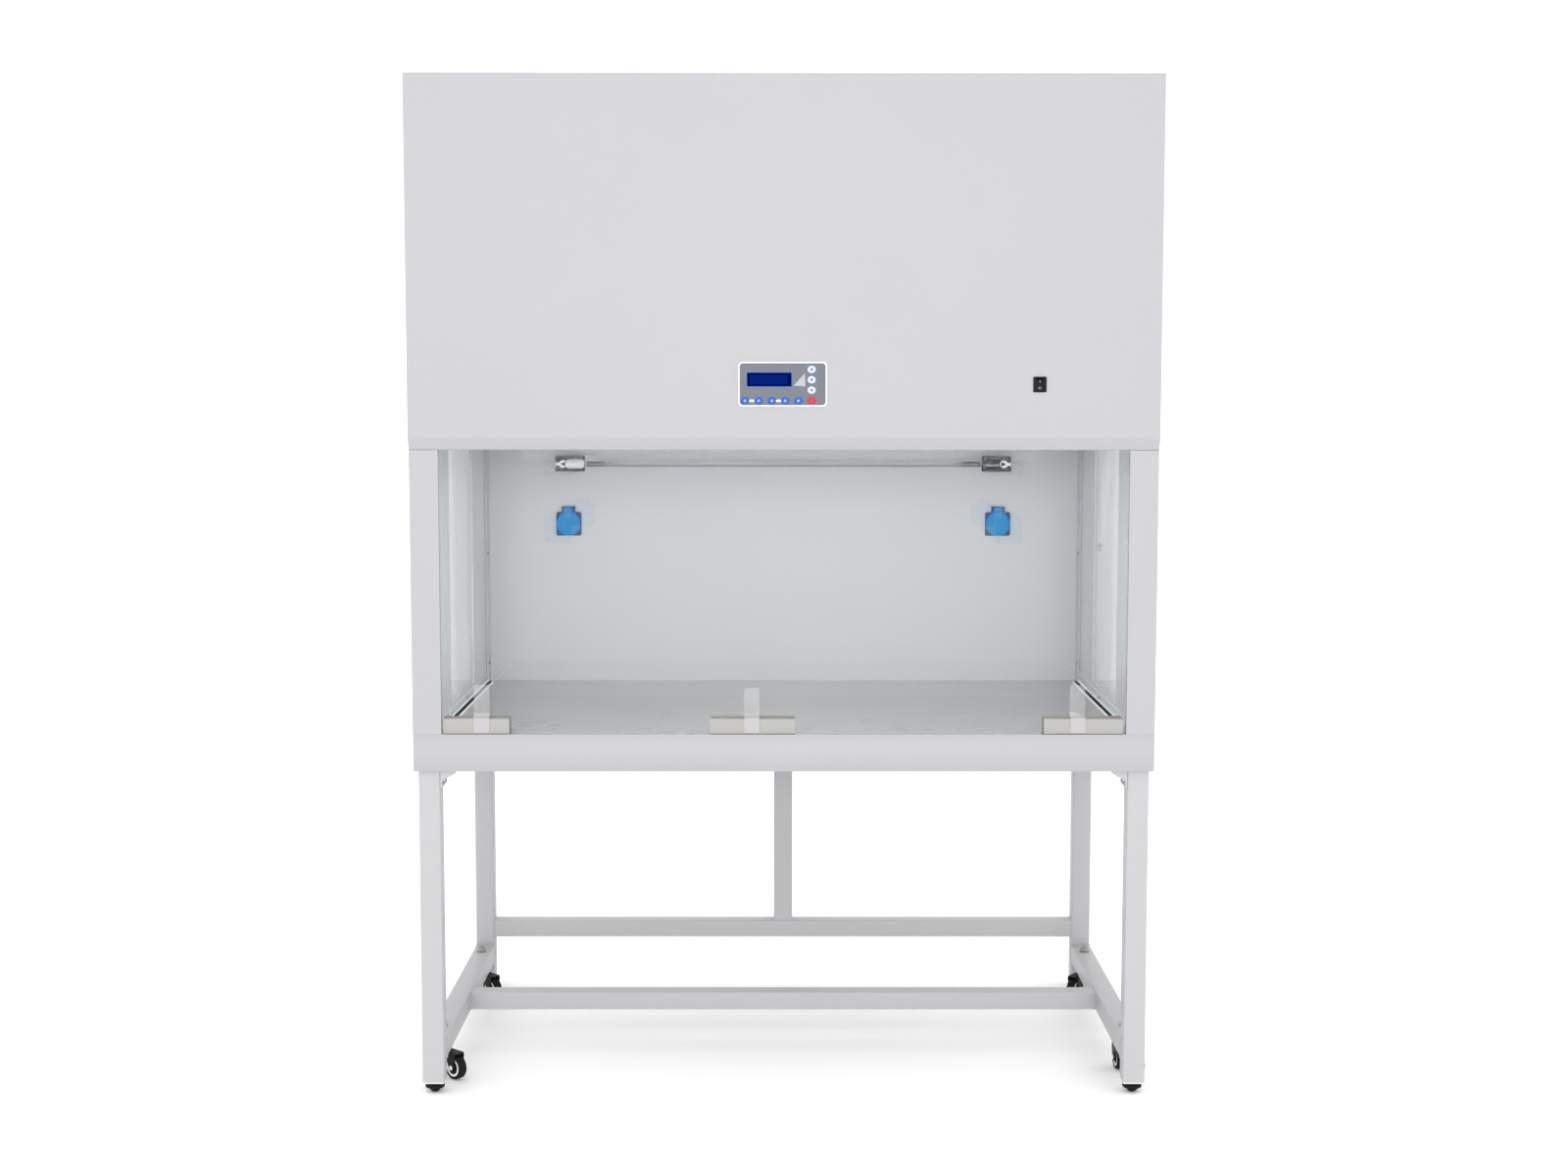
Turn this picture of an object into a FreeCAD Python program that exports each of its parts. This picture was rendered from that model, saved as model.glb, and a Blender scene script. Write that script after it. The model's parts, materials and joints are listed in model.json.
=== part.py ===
import FreeCAD, Part
import math
import os

# Ductless laboratory hood on an open tube stand. Millimetres, +Z up, front faces -Y.
# The origin is on the floor, under the middle of the whole object.

os.makedirs("parts", exist_ok=True)

# Overall sizes
overall_width = 1360.0
cabinet_depth = 792.0
fascia_proud = 10.0
overall_height = 1869.0
fixture_reach = 3.5

# Levels above the floor
leg_bottom = 22.0
tray_bottom = 609.5
worktop_level = 678.0
opening_top = 1198.7
crease_level = 1221.3

# Sheet metal and stand tube
sheet = 1.5
tube_size = 40.0
tube_wall = 1.5
tube_inset = 8.0
rail_height = 36.0
rail_over_wheel = 10.0
rear_rail_bottom = 113.5
cross_rail_y = 1.0

# Side walls and their windows
wall_thickness = 40.3
post_lip = 12.3
post_lip_depth = 8.0
window_front_inset = 210.0
window_width = 315.0
kick_height = 26.7
glass_thickness = 5.0

# Sliding front sash
sash_thickness = 6.0
sash_setback = 13.0
sash_gap = 0.3
sash_height = 533.0
pad_height = 29.3

# Casters
wheel_diameter = 46.0
wheel_width = 18.0
caster_trail = 38.0
wheel_lift = 1.0
front_swivel_room = 16.0
rear_swivel_room = 3.0

# Levelling feet
foot_diameter = 36.0
foot_pad_height = 16.5
foot_stem_radius = 6.0

# Small clearances
touch_gap = 0.3
running_gap = 0.05

# Values worked out from the sizes above
half_width = overall_width / 2
total_depth = cabinet_depth + fascia_proud
rear_y = total_depth / 2
fascia_y = -total_depth / 2
post_y = fascia_y + fascia_proud
wall_x = half_width - wall_thickness
post_width = wall_thickness + post_lip
skin_x = wall_x + sheet
back_wall_y = rear_y - 31.0
side_rail_bottom = wheel_lift + wheel_diameter + rail_over_wheel
caster_sweep = caster_trail + wheel_diameter / 2
leg_x = half_width - tube_inset - tube_size / 2
front_leg_y = post_y + tube_inset + tube_size / 2
rear_leg_y = rear_y - tube_inset - tube_size / 2
sash_front = post_y + sash_setback
sash_back = sash_front + sash_thickness


def box(x0, x1, y0, y1, z0, z1):
    return Part.makeBox(x1 - x0, y1 - y0, z1 - z0, FreeCAD.Vector(x0, y0, z0))


def round_bar(radius, start, direction, length):
    return Part.makeCylinder(radius, length, FreeCAD.Vector(*start), FreeCAD.Vector(*direction))


def prism_x(points, x0, x1):
    loop = [FreeCAD.Vector(x0, y, z) for y, z in points]
    face = Part.Face(Part.makePolygon(loop + [loop[0]]))
    return face.extrude(FreeCAD.Vector(x1 - x0, 0, 0))


def prism_y(points, y0, y1):
    loop = [FreeCAD.Vector(x, y0, z) for x, z in points]
    face = Part.Face(Part.makePolygon(loop + [loop[0]]))
    return face.extrude(FreeCAD.Vector(0, y1 - y0, 0))


def prism_z(points, z0, z1):
    loop = [FreeCAD.Vector(x, y, z0) for x, y in points]
    face = Part.Face(Part.makePolygon(loop + [loop[0]]))
    return face.extrude(FreeCAD.Vector(0, 0, z1 - z0))


def turned_z(points, x, y):
    # Solid of revolution about a vertical line, from (radius, height) points.
    loop = [FreeCAD.Vector(r, 0, z) for r, z in points]
    face = Part.Face(Part.makePolygon(loop + [loop[0]]))
    shape = face.revolve(FreeCAD.Vector(0, 0, 0), FreeCAD.Vector(0, 0, 1), 360)
    shape.translate(FreeCAD.Vector(x, y, 0))
    return shape


def rounded_plate(x0, x1, z0, z1, y0, y1, radius):
    plate = box(x0, x1, y0, y1, z0, z1)
    edges = []
    for edge in plate.Edges:
        a = edge.Vertexes[0].Point
        b = edge.Vertexes[1].Point
        if abs(a.x - b.x) < 0.001 and abs(a.z - b.z) < 0.001:
            edges.append(edge)
    return plate.makeFillet(radius, edges)


def tube_along_x(x0, x1, y0, y1, z0, z1):
    outer = box(x0, x1, y0, y1, z0, z1)
    wall = tube_wall
    return outer.cut(box(x0 - 1, x1 + 1, y0 + wall, y1 - wall, z0 + wall, z1 - wall))


def tube_along_y(x0, x1, y0, y1, z0, z1):
    outer = box(x0, x1, y0, y1, z0, z1)
    wall = tube_wall
    return outer.cut(box(x0 + wall, x1 - wall, y0 - 1, y1 + 1, z0 + wall, z1 - wall))


def tube_along_z(x0, x1, y0, y1, z0, z1):
    outer = box(x0, x1, y0, y1, z0, z1)
    wall = tube_wall
    return outer.cut(box(x0 + wall, x1 - wall, y0 + wall, y1 - wall, z0 - 1, z1 + 1))


def mirrored(shape):
    return shape.mirror(FreeCAD.Vector(0, 0, 0), FreeCAD.Vector(1, 0, 0))


def fused(first, others):
    return first.fuse(others).removeSplitter()


def save(name, solids):
    if not isinstance(solids, list):
        solids = [solids]
    pieces = []
    for shape in solids:
        pieces.extend(shape.Solids)
    shape = pieces[0] if len(pieces) == 1 else Part.makeCompound(pieces)
    shape.exportStep("parts/" + name + ".step")


def corners():
    # Name, side sign and leg centre of each corner of the stand.
    return [
        ("front_left", -1, front_leg_y),
        ("front_right", 1, front_leg_y),
        ("rear_left", -1, rear_leg_y),
        ("rear_right", 1, rear_leg_y),
    ]


# ---- Stand: legs, rails and centre post ----

half_tube = tube_size / 2
legs = []
for name, side, leg_y in corners():
    x = side * leg_x
    legs.append(tube_along_z(x - half_tube, x + half_tube, leg_y - half_tube, leg_y + half_tube,
                             leg_bottom, tray_bottom))

side_rail_top = side_rail_bottom + tube_size
rail_front = front_leg_y + half_tube
rail_rear = rear_leg_y - half_tube
front_stem_y = front_leg_y + half_tube + caster_sweep + front_swivel_room
rear_stem_y = rear_leg_y - half_tube - caster_sweep - rear_swivel_room
stem_radius = 5.0
side_rails = []
for side in (-1, 1):
    x = side * leg_x
    rail = tube_along_y(x - half_tube, x + half_tube, rail_front, rail_rear, side_rail_bottom, side_rail_top)
    for stem_y in (front_stem_y, rear_stem_y):
        rail = rail.cut(round_bar(stem_radius + touch_gap, (x, stem_y, 0), (0, 0, 1), 200))
    side_rails.append(rail)

inner_leg_x = leg_x - half_tube
cross_rail = tube_along_x(-inner_leg_x, inner_leg_x, cross_rail_y - half_tube, cross_rail_y + half_tube,
                          side_rail_bottom, side_rail_bottom + rail_height)
rear_rail_top = rear_rail_bottom + rail_height
rear_rail = tube_along_x(-inner_leg_x, inner_leg_x, rear_leg_y - half_tube, rear_leg_y + half_tube,
                         rear_rail_bottom, rear_rail_top)
rear_post = tube_along_z(-half_tube, half_tube, rear_leg_y - half_tube, rear_leg_y + half_tube,
                         rear_rail_top, tray_bottom)

save("legs", legs)
save("side_rails", side_rails)
save("cross_rails", [cross_rail, rear_rail])
save("rear_post", rear_post)

# Corner brackets bolt the front legs to the underside of the tray.
bracket_reach = 29.0
bracket_drop = 32.5
bracket_sheet = 3.0
gussets = []
stand_fasteners = []
for side in (-1, 1):
    y0 = front_leg_y - half_tube
    y1 = front_leg_y + half_tube
    x0 = inner_leg_x - bracket_sheet
    down = box(x0, inner_leg_x, y0, y1, tray_bottom - bracket_drop, tray_bottom)
    flat = box(inner_leg_x - bracket_reach, inner_leg_x, y0, y1, tray_bottom - bracket_sheet, tray_bottom)
    web_points = [
        (inner_leg_x - bracket_reach, tray_bottom - bracket_sheet),
        (x0 + 0.5, tray_bottom - bracket_sheet),
        (x0 + 0.5, tray_bottom - 20),
        (inner_leg_x - bracket_reach, tray_bottom - bracket_sheet - 1.5),
    ]
    web = prism_y(web_points, y0, y0 + bracket_sheet)
    bracket = fused(down, [flat, web])
    bolt_z = tray_bottom - 22
    bolt_y = front_leg_y + 4
    bolt_hole = round_bar(3.2, (x0 - 1, bolt_y, bolt_z), (1, 0, 0), bracket_sheet + 2)
    bracket = bracket.cut(bolt_hole)
    shank = round_bar(3.0, (x0, bolt_y, bolt_z), (1, 0, 0), bracket_sheet)
    head = round_bar(6.0, (x0 - 6, bolt_y, bolt_z), (1, 0, 0), 6)
    bolt = fused(head, [shank])
    if side < 0:
        bracket = mirrored(bracket)
        bolt = mirrored(bolt)
    gussets.append(bracket)
    stand_fasteners.append(bolt)
save("gussets", gussets)


# ---- Casters: fixed stem, nut, swivelling fork and wheel ----

def hex_nut(x, y, z, across_flats, height, bore):
    radius = across_flats / math.sqrt(3)
    points = []
    for i in range(6):
        angle = math.radians(60 * i + 30)
        points.append((x + radius * math.cos(angle), y + radius * math.sin(angle)))
    nut = prism_z(points, z, z + height)
    return nut.cut(round_bar(bore, (x, y, z - 1), (0, 0, 1), height + 2))


wheel_radius = wheel_diameter / 2
axle_z = wheel_radius + wheel_lift
kingpin_radius = 4.0
race_bottom = side_rail_bottom - 4
crown_top = race_bottom - touch_gap
crown_bottom = crown_top - 3.5
axle_radius = 3.0
arm_inner = wheel_width / 2 + 1
arm_outer = arm_inner + 2.5

# Headings of the trailing wheels, in degrees from +X.
caster_headings = {"front_left": -42.0, "front_right": 95.0, "rear_left": -46.0, "rear_right": -128.0}

caster_stems = []
for name, side, leg_y in corners():
    stem_y = front_stem_y if leg_y < 0 else rear_stem_y
    x = side * leg_x
    nut_top = side_rail_top + 8
    profile = [
        (0, crown_bottom - 3),
        (6, crown_bottom - 3),
        (6, crown_bottom - 0.3),
        (kingpin_radius, crown_bottom - 0.3),
        (kingpin_radius, race_bottom),
        (14, race_bottom),
        (14, side_rail_bottom),
        (stem_radius, side_rail_bottom),
        (stem_radius, nut_top + 4),
        (0, nut_top + 4),
    ]
    caster_stems.append(turned_z(profile, x, stem_y))
    stand_fasteners.append(hex_nut(x, stem_y, side_rail_top, 17, 8, stem_radius))

    # The fork is drawn trailing along +X from its kingpin, then turned to its heading.
    crown = round_bar(14, (0, 0, crown_bottom), (0, 0, 1), crown_top - crown_bottom)
    hood = box(0, caster_trail + 11, -arm_outer, arm_outer, crown_bottom, crown_top)
    arm_points = [
        (6, crown_top),
        (caster_trail + 11, crown_top),
        (caster_trail + 11, crown_bottom - 5),
        (caster_trail + 7, axle_z - 2),
        (caster_trail + 3, axle_z - 7),
        (caster_trail - 3, axle_z - 7),
        (caster_trail - 7, axle_z - 2),
        (6, crown_bottom - 8),
    ]
    arm = prism_y(arm_points, arm_inner, arm_outer)
    other_arm = prism_y(arm_points, -arm_outer, -arm_inner)
    fork = fused(crown, [hood, arm, other_arm])
    fork = fork.cut(round_bar(kingpin_radius + running_gap, (0, 0, 0), (0, 0, 1), 80))
    axle_hole = round_bar(axle_radius, (caster_trail, -arm_outer - 1, axle_z), (0, 1, 0), 2 * arm_outer + 2)
    fork = fork.cut(axle_hole)
    axle = round_bar(axle_radius, (caster_trail, -arm_outer, axle_z), (0, 1, 0), 2 * arm_outer)
    cap = round_bar(4.5, (caster_trail, -arm_outer - 1.5, axle_z), (0, 1, 0), 1.5)
    far_cap = round_bar(4.5, (caster_trail, arm_outer, axle_z), (0, 1, 0), 1.5)
    axle = fused(axle, [cap, far_cap])

    rim_radius = wheel_radius - 5
    rim = round_bar(rim_radius, (caster_trail, -wheel_width / 2 + 1, axle_z), (0, 1, 0), wheel_width - 2)
    groove = round_bar(rim_radius - 3, (caster_trail, -wheel_width / 2, axle_z), (0, 1, 0), 3)
    far_groove = round_bar(rim_radius - 3, (caster_trail, wheel_width / 2 - 3, axle_z), (0, 1, 0), 3)
    hub = round_bar(7, (caster_trail, -wheel_width / 2 + 0.5, axle_z), (0, 1, 0), wheel_width - 1)
    bore = round_bar(axle_radius + running_gap, (caster_trail, -20, axle_z), (0, 1, 0), 40)
    rim = fused(rim.cut(groove).cut(far_groove), [hub]).cut(bore)
    tyre = round_bar(wheel_radius, (caster_trail, -wheel_width / 2, axle_z), (0, 1, 0), wheel_width)
    tyre = tyre.makeFillet(2.5, [e for e in tyre.Edges if e.Closed])
    tyre = tyre.cut(round_bar(rim_radius, (caster_trail, -20, axle_z), (0, 1, 0), 40))
    for shape in (fork, axle, rim, tyre):
        shape.rotate(FreeCAD.Vector(0, 0, 0), FreeCAD.Vector(0, 0, 1), caster_headings[name])
        shape.translate(FreeCAD.Vector(x, stem_y, 0))
    save("caster_fork_" + name, [fork, axle])
    save("caster_wheel_" + name, [rim, tyre])

save("caster_stems", caster_stems)
save("stand_fasteners", stand_fasteners)

# ---- Levelling feet in threaded leg inserts ----

insert_inner = half_tube - tube_wall
leg_inserts = []
for name, side, leg_y in corners():
    x = side * leg_x
    plug = box(x - insert_inner, x + insert_inner, leg_y - insert_inner, leg_y + insert_inner,
               leg_bottom, leg_bottom + 28)
    flange = box(x - half_tube + 0.5, x + half_tube - 0.5, leg_y - half_tube + 0.5, leg_y + half_tube - 0.5,
                 leg_bottom - 2.5, leg_bottom)
    insert = fused(plug, [flange])
    insert = insert.cut(round_bar(foot_stem_radius + running_gap, (x, leg_y, 0), (0, 0, 1), 80))
    leg_inserts.append(insert)
    pad_radius = foot_diameter / 2
    foot = turned_z([
        (0, 0),
        (5, 0),
        (7, 1.5),
        (pad_radius - 4.5, foot_pad_height - 8.5),
        (pad_radius - 0.8, foot_pad_height - 7.5),
        (pad_radius, foot_pad_height - 6.5),
        (pad_radius, foot_pad_height - 1),
        (pad_radius - 1, foot_pad_height),
        (foot_stem_radius, foot_pad_height),
        (foot_stem_radius, leg_bottom + 40),
        (0, leg_bottom + 40),
    ], x, leg_y)
    save("foot_" + name, foot)
save("leg_inserts", leg_inserts)

# ---- Tray with its skirt, and the worktop on its ledge ----

ledge_top = worktop_level - sheet
tray = box(-half_width, half_width, post_y, rear_y, tray_bottom, worktop_level)
tray = tray.cut(box(-half_width + sheet, half_width - sheet, post_y + sheet, rear_y - sheet,
                    tray_bottom + sheet, worktop_level - 2 * sheet))
tray = tray.cut(box(-half_width + sheet, half_width - sheet, post_y + sheet, rear_y - sheet,
                    ledge_top, worktop_level + 1))
tray = tray.cut(box(-wall_x + 20, wall_x - 20, post_y + 25, back_wall_y - 20,
                    worktop_level - 3 * sheet, worktop_level))
save("base_tray", tray)

worktop = box(-half_width + sheet, half_width - sheet, post_y + sheet, rear_y - sheet,
              ledge_top, worktop_level)
save("worktop", worktop)

# ---- Side walls: post, double skin and window frame ----

wall_top = opening_top - touch_gap
wall_rear = rear_y - sheet
window_front = post_y + window_front_inset
window_rear = window_front + window_width
window_bottom = worktop_level + kick_height
frame_grip = 10.0
kick_proud = 3.0
flange_depth = 37.0
flange_front = back_wall_y - flange_depth

outer_shell = box(wall_x, half_width, post_y, wall_rear, worktop_level, wall_top)
hollow = box(skin_x, half_width - sheet, post_y + sheet, wall_rear - sheet,
             worktop_level + sheet, wall_top + 1)
wall = outer_shell.cut(hollow)
lip = box(half_width - post_width, wall_x + 0.5, post_y, post_y + sheet, worktop_level, wall_top)
lip_return = box(half_width - post_width, half_width - post_width + sheet, post_y, post_y + post_lip_depth,
                 worktop_level, wall_top)
reveal = box(skin_x - 0.1, half_width - sheet + 0.1, window_front - frame_grip - sheet,
             window_rear + frame_grip + sheet, window_bottom - frame_grip - sheet, wall_top)
reveal = reveal.cut(box(skin_x - 1, half_width, window_front - frame_grip, window_rear + frame_grip,
                        window_bottom - frame_grip, wall_top + 1))
kick = prism_y([
    (wall_x - kick_proud, worktop_level + 6),
    (wall_x + 0.5, worktop_level + 6),
    (wall_x + 0.5, window_bottom - 3.7),
    (wall_x, window_bottom - 3.7),
    (wall_x - kick_proud, window_bottom - 8.7),
], window_front - 30, flange_front - 1)
wall = fused(wall, [lip, lip_return, reveal, kick])
wall = wall.cut(box(wall_x - 1, skin_x + 0.01, window_front, window_rear, window_bottom, wall_top + 1))
wall = wall.cut(box(half_width - sheet - 0.2, half_width + 1, window_front - frame_grip,
                    window_rear + frame_grip, window_bottom - frame_grip, wall_top + 1))
save("side_walls", [mirrored(wall), wall])

pane = box(skin_x, skin_x + glass_thickness, window_front - frame_grip + 0.5, window_rear + frame_grip - 0.5,
           window_bottom - frame_grip + 0.5, wall_top - 0.5)
plug_radius = 5.0
plug_y = window_front + 235
plug_z = worktop_level + 313
plug_hole = round_bar(plug_radius, (skin_x - 1, plug_y, plug_z), (1, 0, 0), glass_thickness + 2)
save("side_windows", [mirrored(pane), pane.cut(plug_hole)])

seal_front = post_y + 182
seal_rear = flange_front - 2.5
seal = prism_y([
    (wall_x - 6, worktop_level),
    (wall_x, worktop_level),
    (wall_x, worktop_level + 5),
    (wall_x - 2, worktop_level + 5),
    (wall_x - 6, worktop_level + 1.5),
], seal_front, seal_rear)
save("side_seals", [mirrored(seal), seal])

# ---- Back wall with forward flanges, lamp and sockets ----

back_wall = box(-wall_x, wall_x, back_wall_y, back_wall_y + sheet, worktop_level, wall_top)
near_flange = box(wall_x - sheet, wall_x, flange_front, back_wall_y + sheet, worktop_level, wall_top)
back_wall = fused(back_wall, [near_flange, mirrored(near_flange)])
socket_x = wall_x - 176.4
socket_z = 1019.0
socket_cup = 19.0
for side in (-1, 1):
    back_wall = back_wall.cut(round_bar(socket_cup + 0.5, (side * socket_x, back_wall_y - 5, socket_z),
                                        (0, 1, 0), 20))
save("back_wall", back_wall)

holder_x = wall_x - 181.5
lamp_z = worktop_level + 471
lamp_y = back_wall_y - 26
lamp_radius = 7.0
holder_half = 30.5
socket_length = 38.0
lamp_holders = []
for side in (-1, 1):
    plate = box(holder_x - holder_half, holder_x + holder_half, back_wall_y - 1.5, back_wall_y,
                lamp_z - 17, lamp_z + 17)
    tongue_end = holder_x + holder_half - 3
    tongue = box(holder_x - 4, tongue_end, lamp_y - 2, back_wall_y - 1, lamp_z - 16.9, lamp_z - 15)
    upper = box(holder_x - 4, tongue_end, lamp_y - 2, back_wall_y - 1, lamp_z + 15, lamp_z + 16.9)
    bracket = fused(plate, [tongue, upper])
    body_x = holder_x - holder_half + 1
    body = box(body_x, body_x + socket_length, lamp_y, back_wall_y - 1.5, lamp_z - 12, lamp_z + 12)
    nose = round_bar(12, (body_x, lamp_y, lamp_z), (1, 0, 0), socket_length)
    cap = fused(body, [nose])
    bracket = bracket.cut(round_bar(12.2, (holder_x - holder_half, lamp_y, lamp_z), (1, 0, 0), 70))
    cap = cap.cut(round_bar(lamp_radius, (0, lamp_y, lamp_z), (1, 0, 0), holder_x + holder_half - 30))
    if side < 0:
        bracket = mirrored(bracket)
        cap = mirrored(cap)
    lamp_holders.extend([bracket, cap])
save("lamp_holders", lamp_holders)
lamp_end = holder_x + holder_half - 30
save("lamp_tube", round_bar(lamp_radius, (-lamp_end, lamp_y, lamp_z), (1, 0, 0), 2 * lamp_end))

socket_face = 6.0
hinge_z = socket_z + 33.0
hinge_y = back_wall_y - 10
hinge_pin = 1.5
socket_bodies = []
for side, name in ((-1, "left"), (1, "right")):
    x = side * socket_x
    flange = rounded_plate(x - 27, x + 27, socket_z - 25.5, socket_z + 25.5,
                           back_wall_y - socket_face, back_wall_y, 4)
    cup = round_bar(socket_cup, (x, back_wall_y - 1, socket_z), (0, 1, 0), 26)
    hinge_block = box(x - 14, x + 14, hinge_y - 2, back_wall_y, socket_z + 25, socket_z + 38)
    knuckle = round_bar(4.5, (x - 14, hinge_y, hinge_z), (1, 0, 0), 28)
    body = fused(flange, [cup, hinge_block, knuckle])
    body = body.cut(box(x - 9, x + 9, hinge_y - 6, hinge_y + 5.6, socket_z + 20, socket_z + 45))
    body = body.cut(round_bar(17, (x, back_wall_y - socket_face - 1, socket_z), (0, 1, 0), 24))
    for hole_x in (-9.5, 9.5):
        body = body.cut(round_bar(2.4, (x + hole_x, back_wall_y, socket_z), (0, 1, 0), 24))
    body = body.cut(round_bar(hinge_pin, (x - 15, hinge_y, hinge_z), (1, 0, 0), 30))
    pin = round_bar(hinge_pin, (x - 14, hinge_y, hinge_z), (1, 0, 0), 28)
    socket_bodies.extend([body, pin])
    lid_front = back_wall_y - socket_face - 8
    lid_back = back_wall_y - socket_face - touch_gap
    lid = round_bar(25, (x, lid_front, socket_z), (0, 1, 0), lid_back - lid_front)
    lid = lid.makeChamfer(2, [e for e in lid.Edges if e.Closed and abs(e.CenterOfMass.y - lid_front) < 0.01])
    arm = box(x - 8.7, x + 8.7, lid_front + 2, lid_back - 1, socket_z + 18, hinge_z)
    roll = round_bar(4.0, (x - 8.7, hinge_y, hinge_z), (1, 0, 0), 17.4)
    lid = fused(lid, [arm, roll])
    lid = lid.cut(round_bar(hinge_pin + running_gap, (x - 15, hinge_y, hinge_z), (1, 0, 0), 30))
    save("socket_lid_" + name, lid)
save("socket_bodies", socket_bodies)

# ---- Hood casing ----

panel_x = -2.7
panel_z = 1317.4
bezel_half_x = 80.6
bezel_half_z = 40.8
housing_half_x = bezel_half_x - 1.8
housing_half_z = bezel_half_z - 1.8
switch_x = 460.9
switch_z = 1317.2
switch_half_x = 10.0
switch_half_z = 12.0
top_under = overall_height - sheet

fascia_profile = [
    (fascia_y, top_under),
    (fascia_y, crease_level),
    (post_y, opening_top),
    (post_y + 7, opening_top),
    (post_y + 7, opening_top + sheet),
    (post_y + sheet, opening_top + sheet),
    (fascia_y + sheet, crease_level + 0.5),
    (fascia_y + sheet, top_under),
]
fascia = prism_x(fascia_profile, -half_width, half_width)
fascia = fascia.cut(box(panel_x - housing_half_x, panel_x + housing_half_x, fascia_y - 1, fascia_y + 3,
                        panel_z - housing_half_z, panel_z + housing_half_z))
fascia = fascia.cut(box(switch_x - switch_half_x, switch_x + switch_half_x, fascia_y - 1, fascia_y + 3,
                        switch_z - switch_half_z, switch_z + switch_half_z))
save("fascia", fascia)

side_profile = [
    (fascia_y + sheet, top_under),
    (fascia_y + sheet, crease_level + 0.5),
    (post_y + sheet, opening_top + sheet),
    (post_y + 7, opening_top + sheet),
    (post_y + 7, wall_top),
    (rear_y - sheet, wall_top),
    (rear_y - sheet, top_under),
]
hood_side = prism_x(side_profile, half_width - sheet, half_width)
save("hood_sides", [mirrored(hood_side), hood_side])

hood_top = box(-half_width, half_width, fascia_y, rear_y, top_under, overall_height)
slot_half = 55.0
slots = []
for row in (-75, 75):
    for i in range(34):
        slot_x = (i - 16.5) * 17
        slots.append(box(slot_x - 3, slot_x + 3, row - slot_half, row + slot_half,
                         top_under - 1, overall_height + 1))
hood_top = hood_top.cut(Part.makeCompound(slots))
save("hood_top", hood_top)

inlet_x = half_width - 160
inlet_z = 1330.0
hood_back = box(-half_width, half_width, rear_y - sheet, rear_y, worktop_level, top_under)
hood_back = hood_back.cut(box(inlet_x - 14, inlet_x + 14, rear_y - 5, rear_y + 5, inlet_z - 12, inlet_z + 12))
save("hood_back", hood_back)

inlet_flange = rounded_plate(inlet_x - 25, inlet_x + 25, inlet_z - 16, inlet_z + 16, rear_y,
                             rear_y + fixture_reach, 3)
inlet_body = box(inlet_x - 14, inlet_x + 14, rear_y - 26, rear_y + 1, inlet_z - 12, inlet_z + 12)
inlet = fused(inlet_flange, [inlet_body])
inlet = inlet.cut(box(inlet_x - 12, inlet_x + 12, rear_y - 18, rear_y + 10, inlet_z - 8, inlet_z + 8))
prongs = []
for prong_x, prong_z in ((-7, -1), (7, -1), (0, 3)):
    prongs.append(box(inlet_x + prong_x - 1, inlet_x + prong_x + 1, rear_y - 19, rear_y - 2,
                      inlet_z + prong_z - 2, inlet_z + prong_z + 2))
save("power_inlet", fused(inlet, prongs))

# ---- Air path: diffuser, filter, plenum, blower and prefilter ----

diffuser_front = sash_back + 14
diffuser_sheet = 2.0
slot_pitch_x = 48.0
slot_pitch_y = 83.0
slot_margin_y = 75.0
slot_columns = int(2 * (skin_x - 60) / slot_pitch_x)
slot_rows = 1 + int((back_wall_y - 10 - diffuser_front - slot_margin_y) / slot_pitch_y)
diffuser = box(-skin_x, skin_x, diffuser_front, back_wall_y + sheet, wall_top, wall_top + diffuser_sheet)
air_slots = []
for row in range(slot_rows):
    for i in range(slot_columns):
        slot_x = (i - (slot_columns - 1) / 2) * slot_pitch_x
        slot_y = diffuser_front + slot_margin_y + row * slot_pitch_y
        air_slots.append(box(slot_x - 15, slot_x + 15, slot_y - 3, slot_y + 3, wall_top - 1, wall_top + 4))
diffuser = diffuser.cut(Part.makeCompound(air_slots))
save("diffuser", diffuser)

filter_bottom = wall_top + diffuser_sheet
filter_height = 70.0
plenum_half = skin_x - 16
plenum_front = diffuser_front + 12
plenum_rear = back_wall_y - 6
plenum_top = filter_bottom + 197
main_filter = box(-plenum_half + sheet, plenum_half - sheet, plenum_front + sheet, plenum_rear - sheet,
                  filter_bottom, filter_bottom + filter_height)
filter_frame = 20.0
media_half = plenum_half - sheet - filter_frame
media_front = plenum_front + sheet + filter_frame
media_rear = plenum_rear - sheet - filter_frame
main_filter = main_filter.cut(box(-media_half, media_half, media_front, media_rear,
                                  filter_bottom - 1, filter_bottom + filter_height + 1))
# The pleated pack runs the whole length of the frame as one folded sheet.
pleats = 60
pleat_step = 2 * (media_half + 0.5) / pleats
crest = []
for i in range(pleats + 1):
    pleat_x = -media_half - 0.5 + i * pleat_step
    crest.append((pleat_x, filter_bottom + (8 if i % 2 == 0 else filter_height - 10)))
under = [(pleat_x, pleat_z - 4) for pleat_x, pleat_z in reversed(crest)]
media = prism_y(crest + under, media_front - 0.5, media_rear + 0.5)
main_filter = fused(main_filter, [media])
save("main_filter", main_filter)

scroll_radius = 142.0
scroll_half = 130.0
scroll_z = plenum_top + 165
scroll_y = 20.0
throat_y = scroll_y - scroll_radius
plenum = box(-plenum_half, plenum_half, plenum_front, plenum_rear, filter_bottom, plenum_top)
plenum = plenum.cut(box(-plenum_half + sheet, plenum_half - sheet, plenum_front + sheet, plenum_rear - sheet,
                        filter_bottom - 1, plenum_top - sheet))
throat = box(-scroll_half + 2, scroll_half - 2, throat_y + 2, scroll_y - 22, plenum_top - 5, plenum_top + 5)
plenum = plenum.cut(throat)
save("plenum", plenum)

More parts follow.
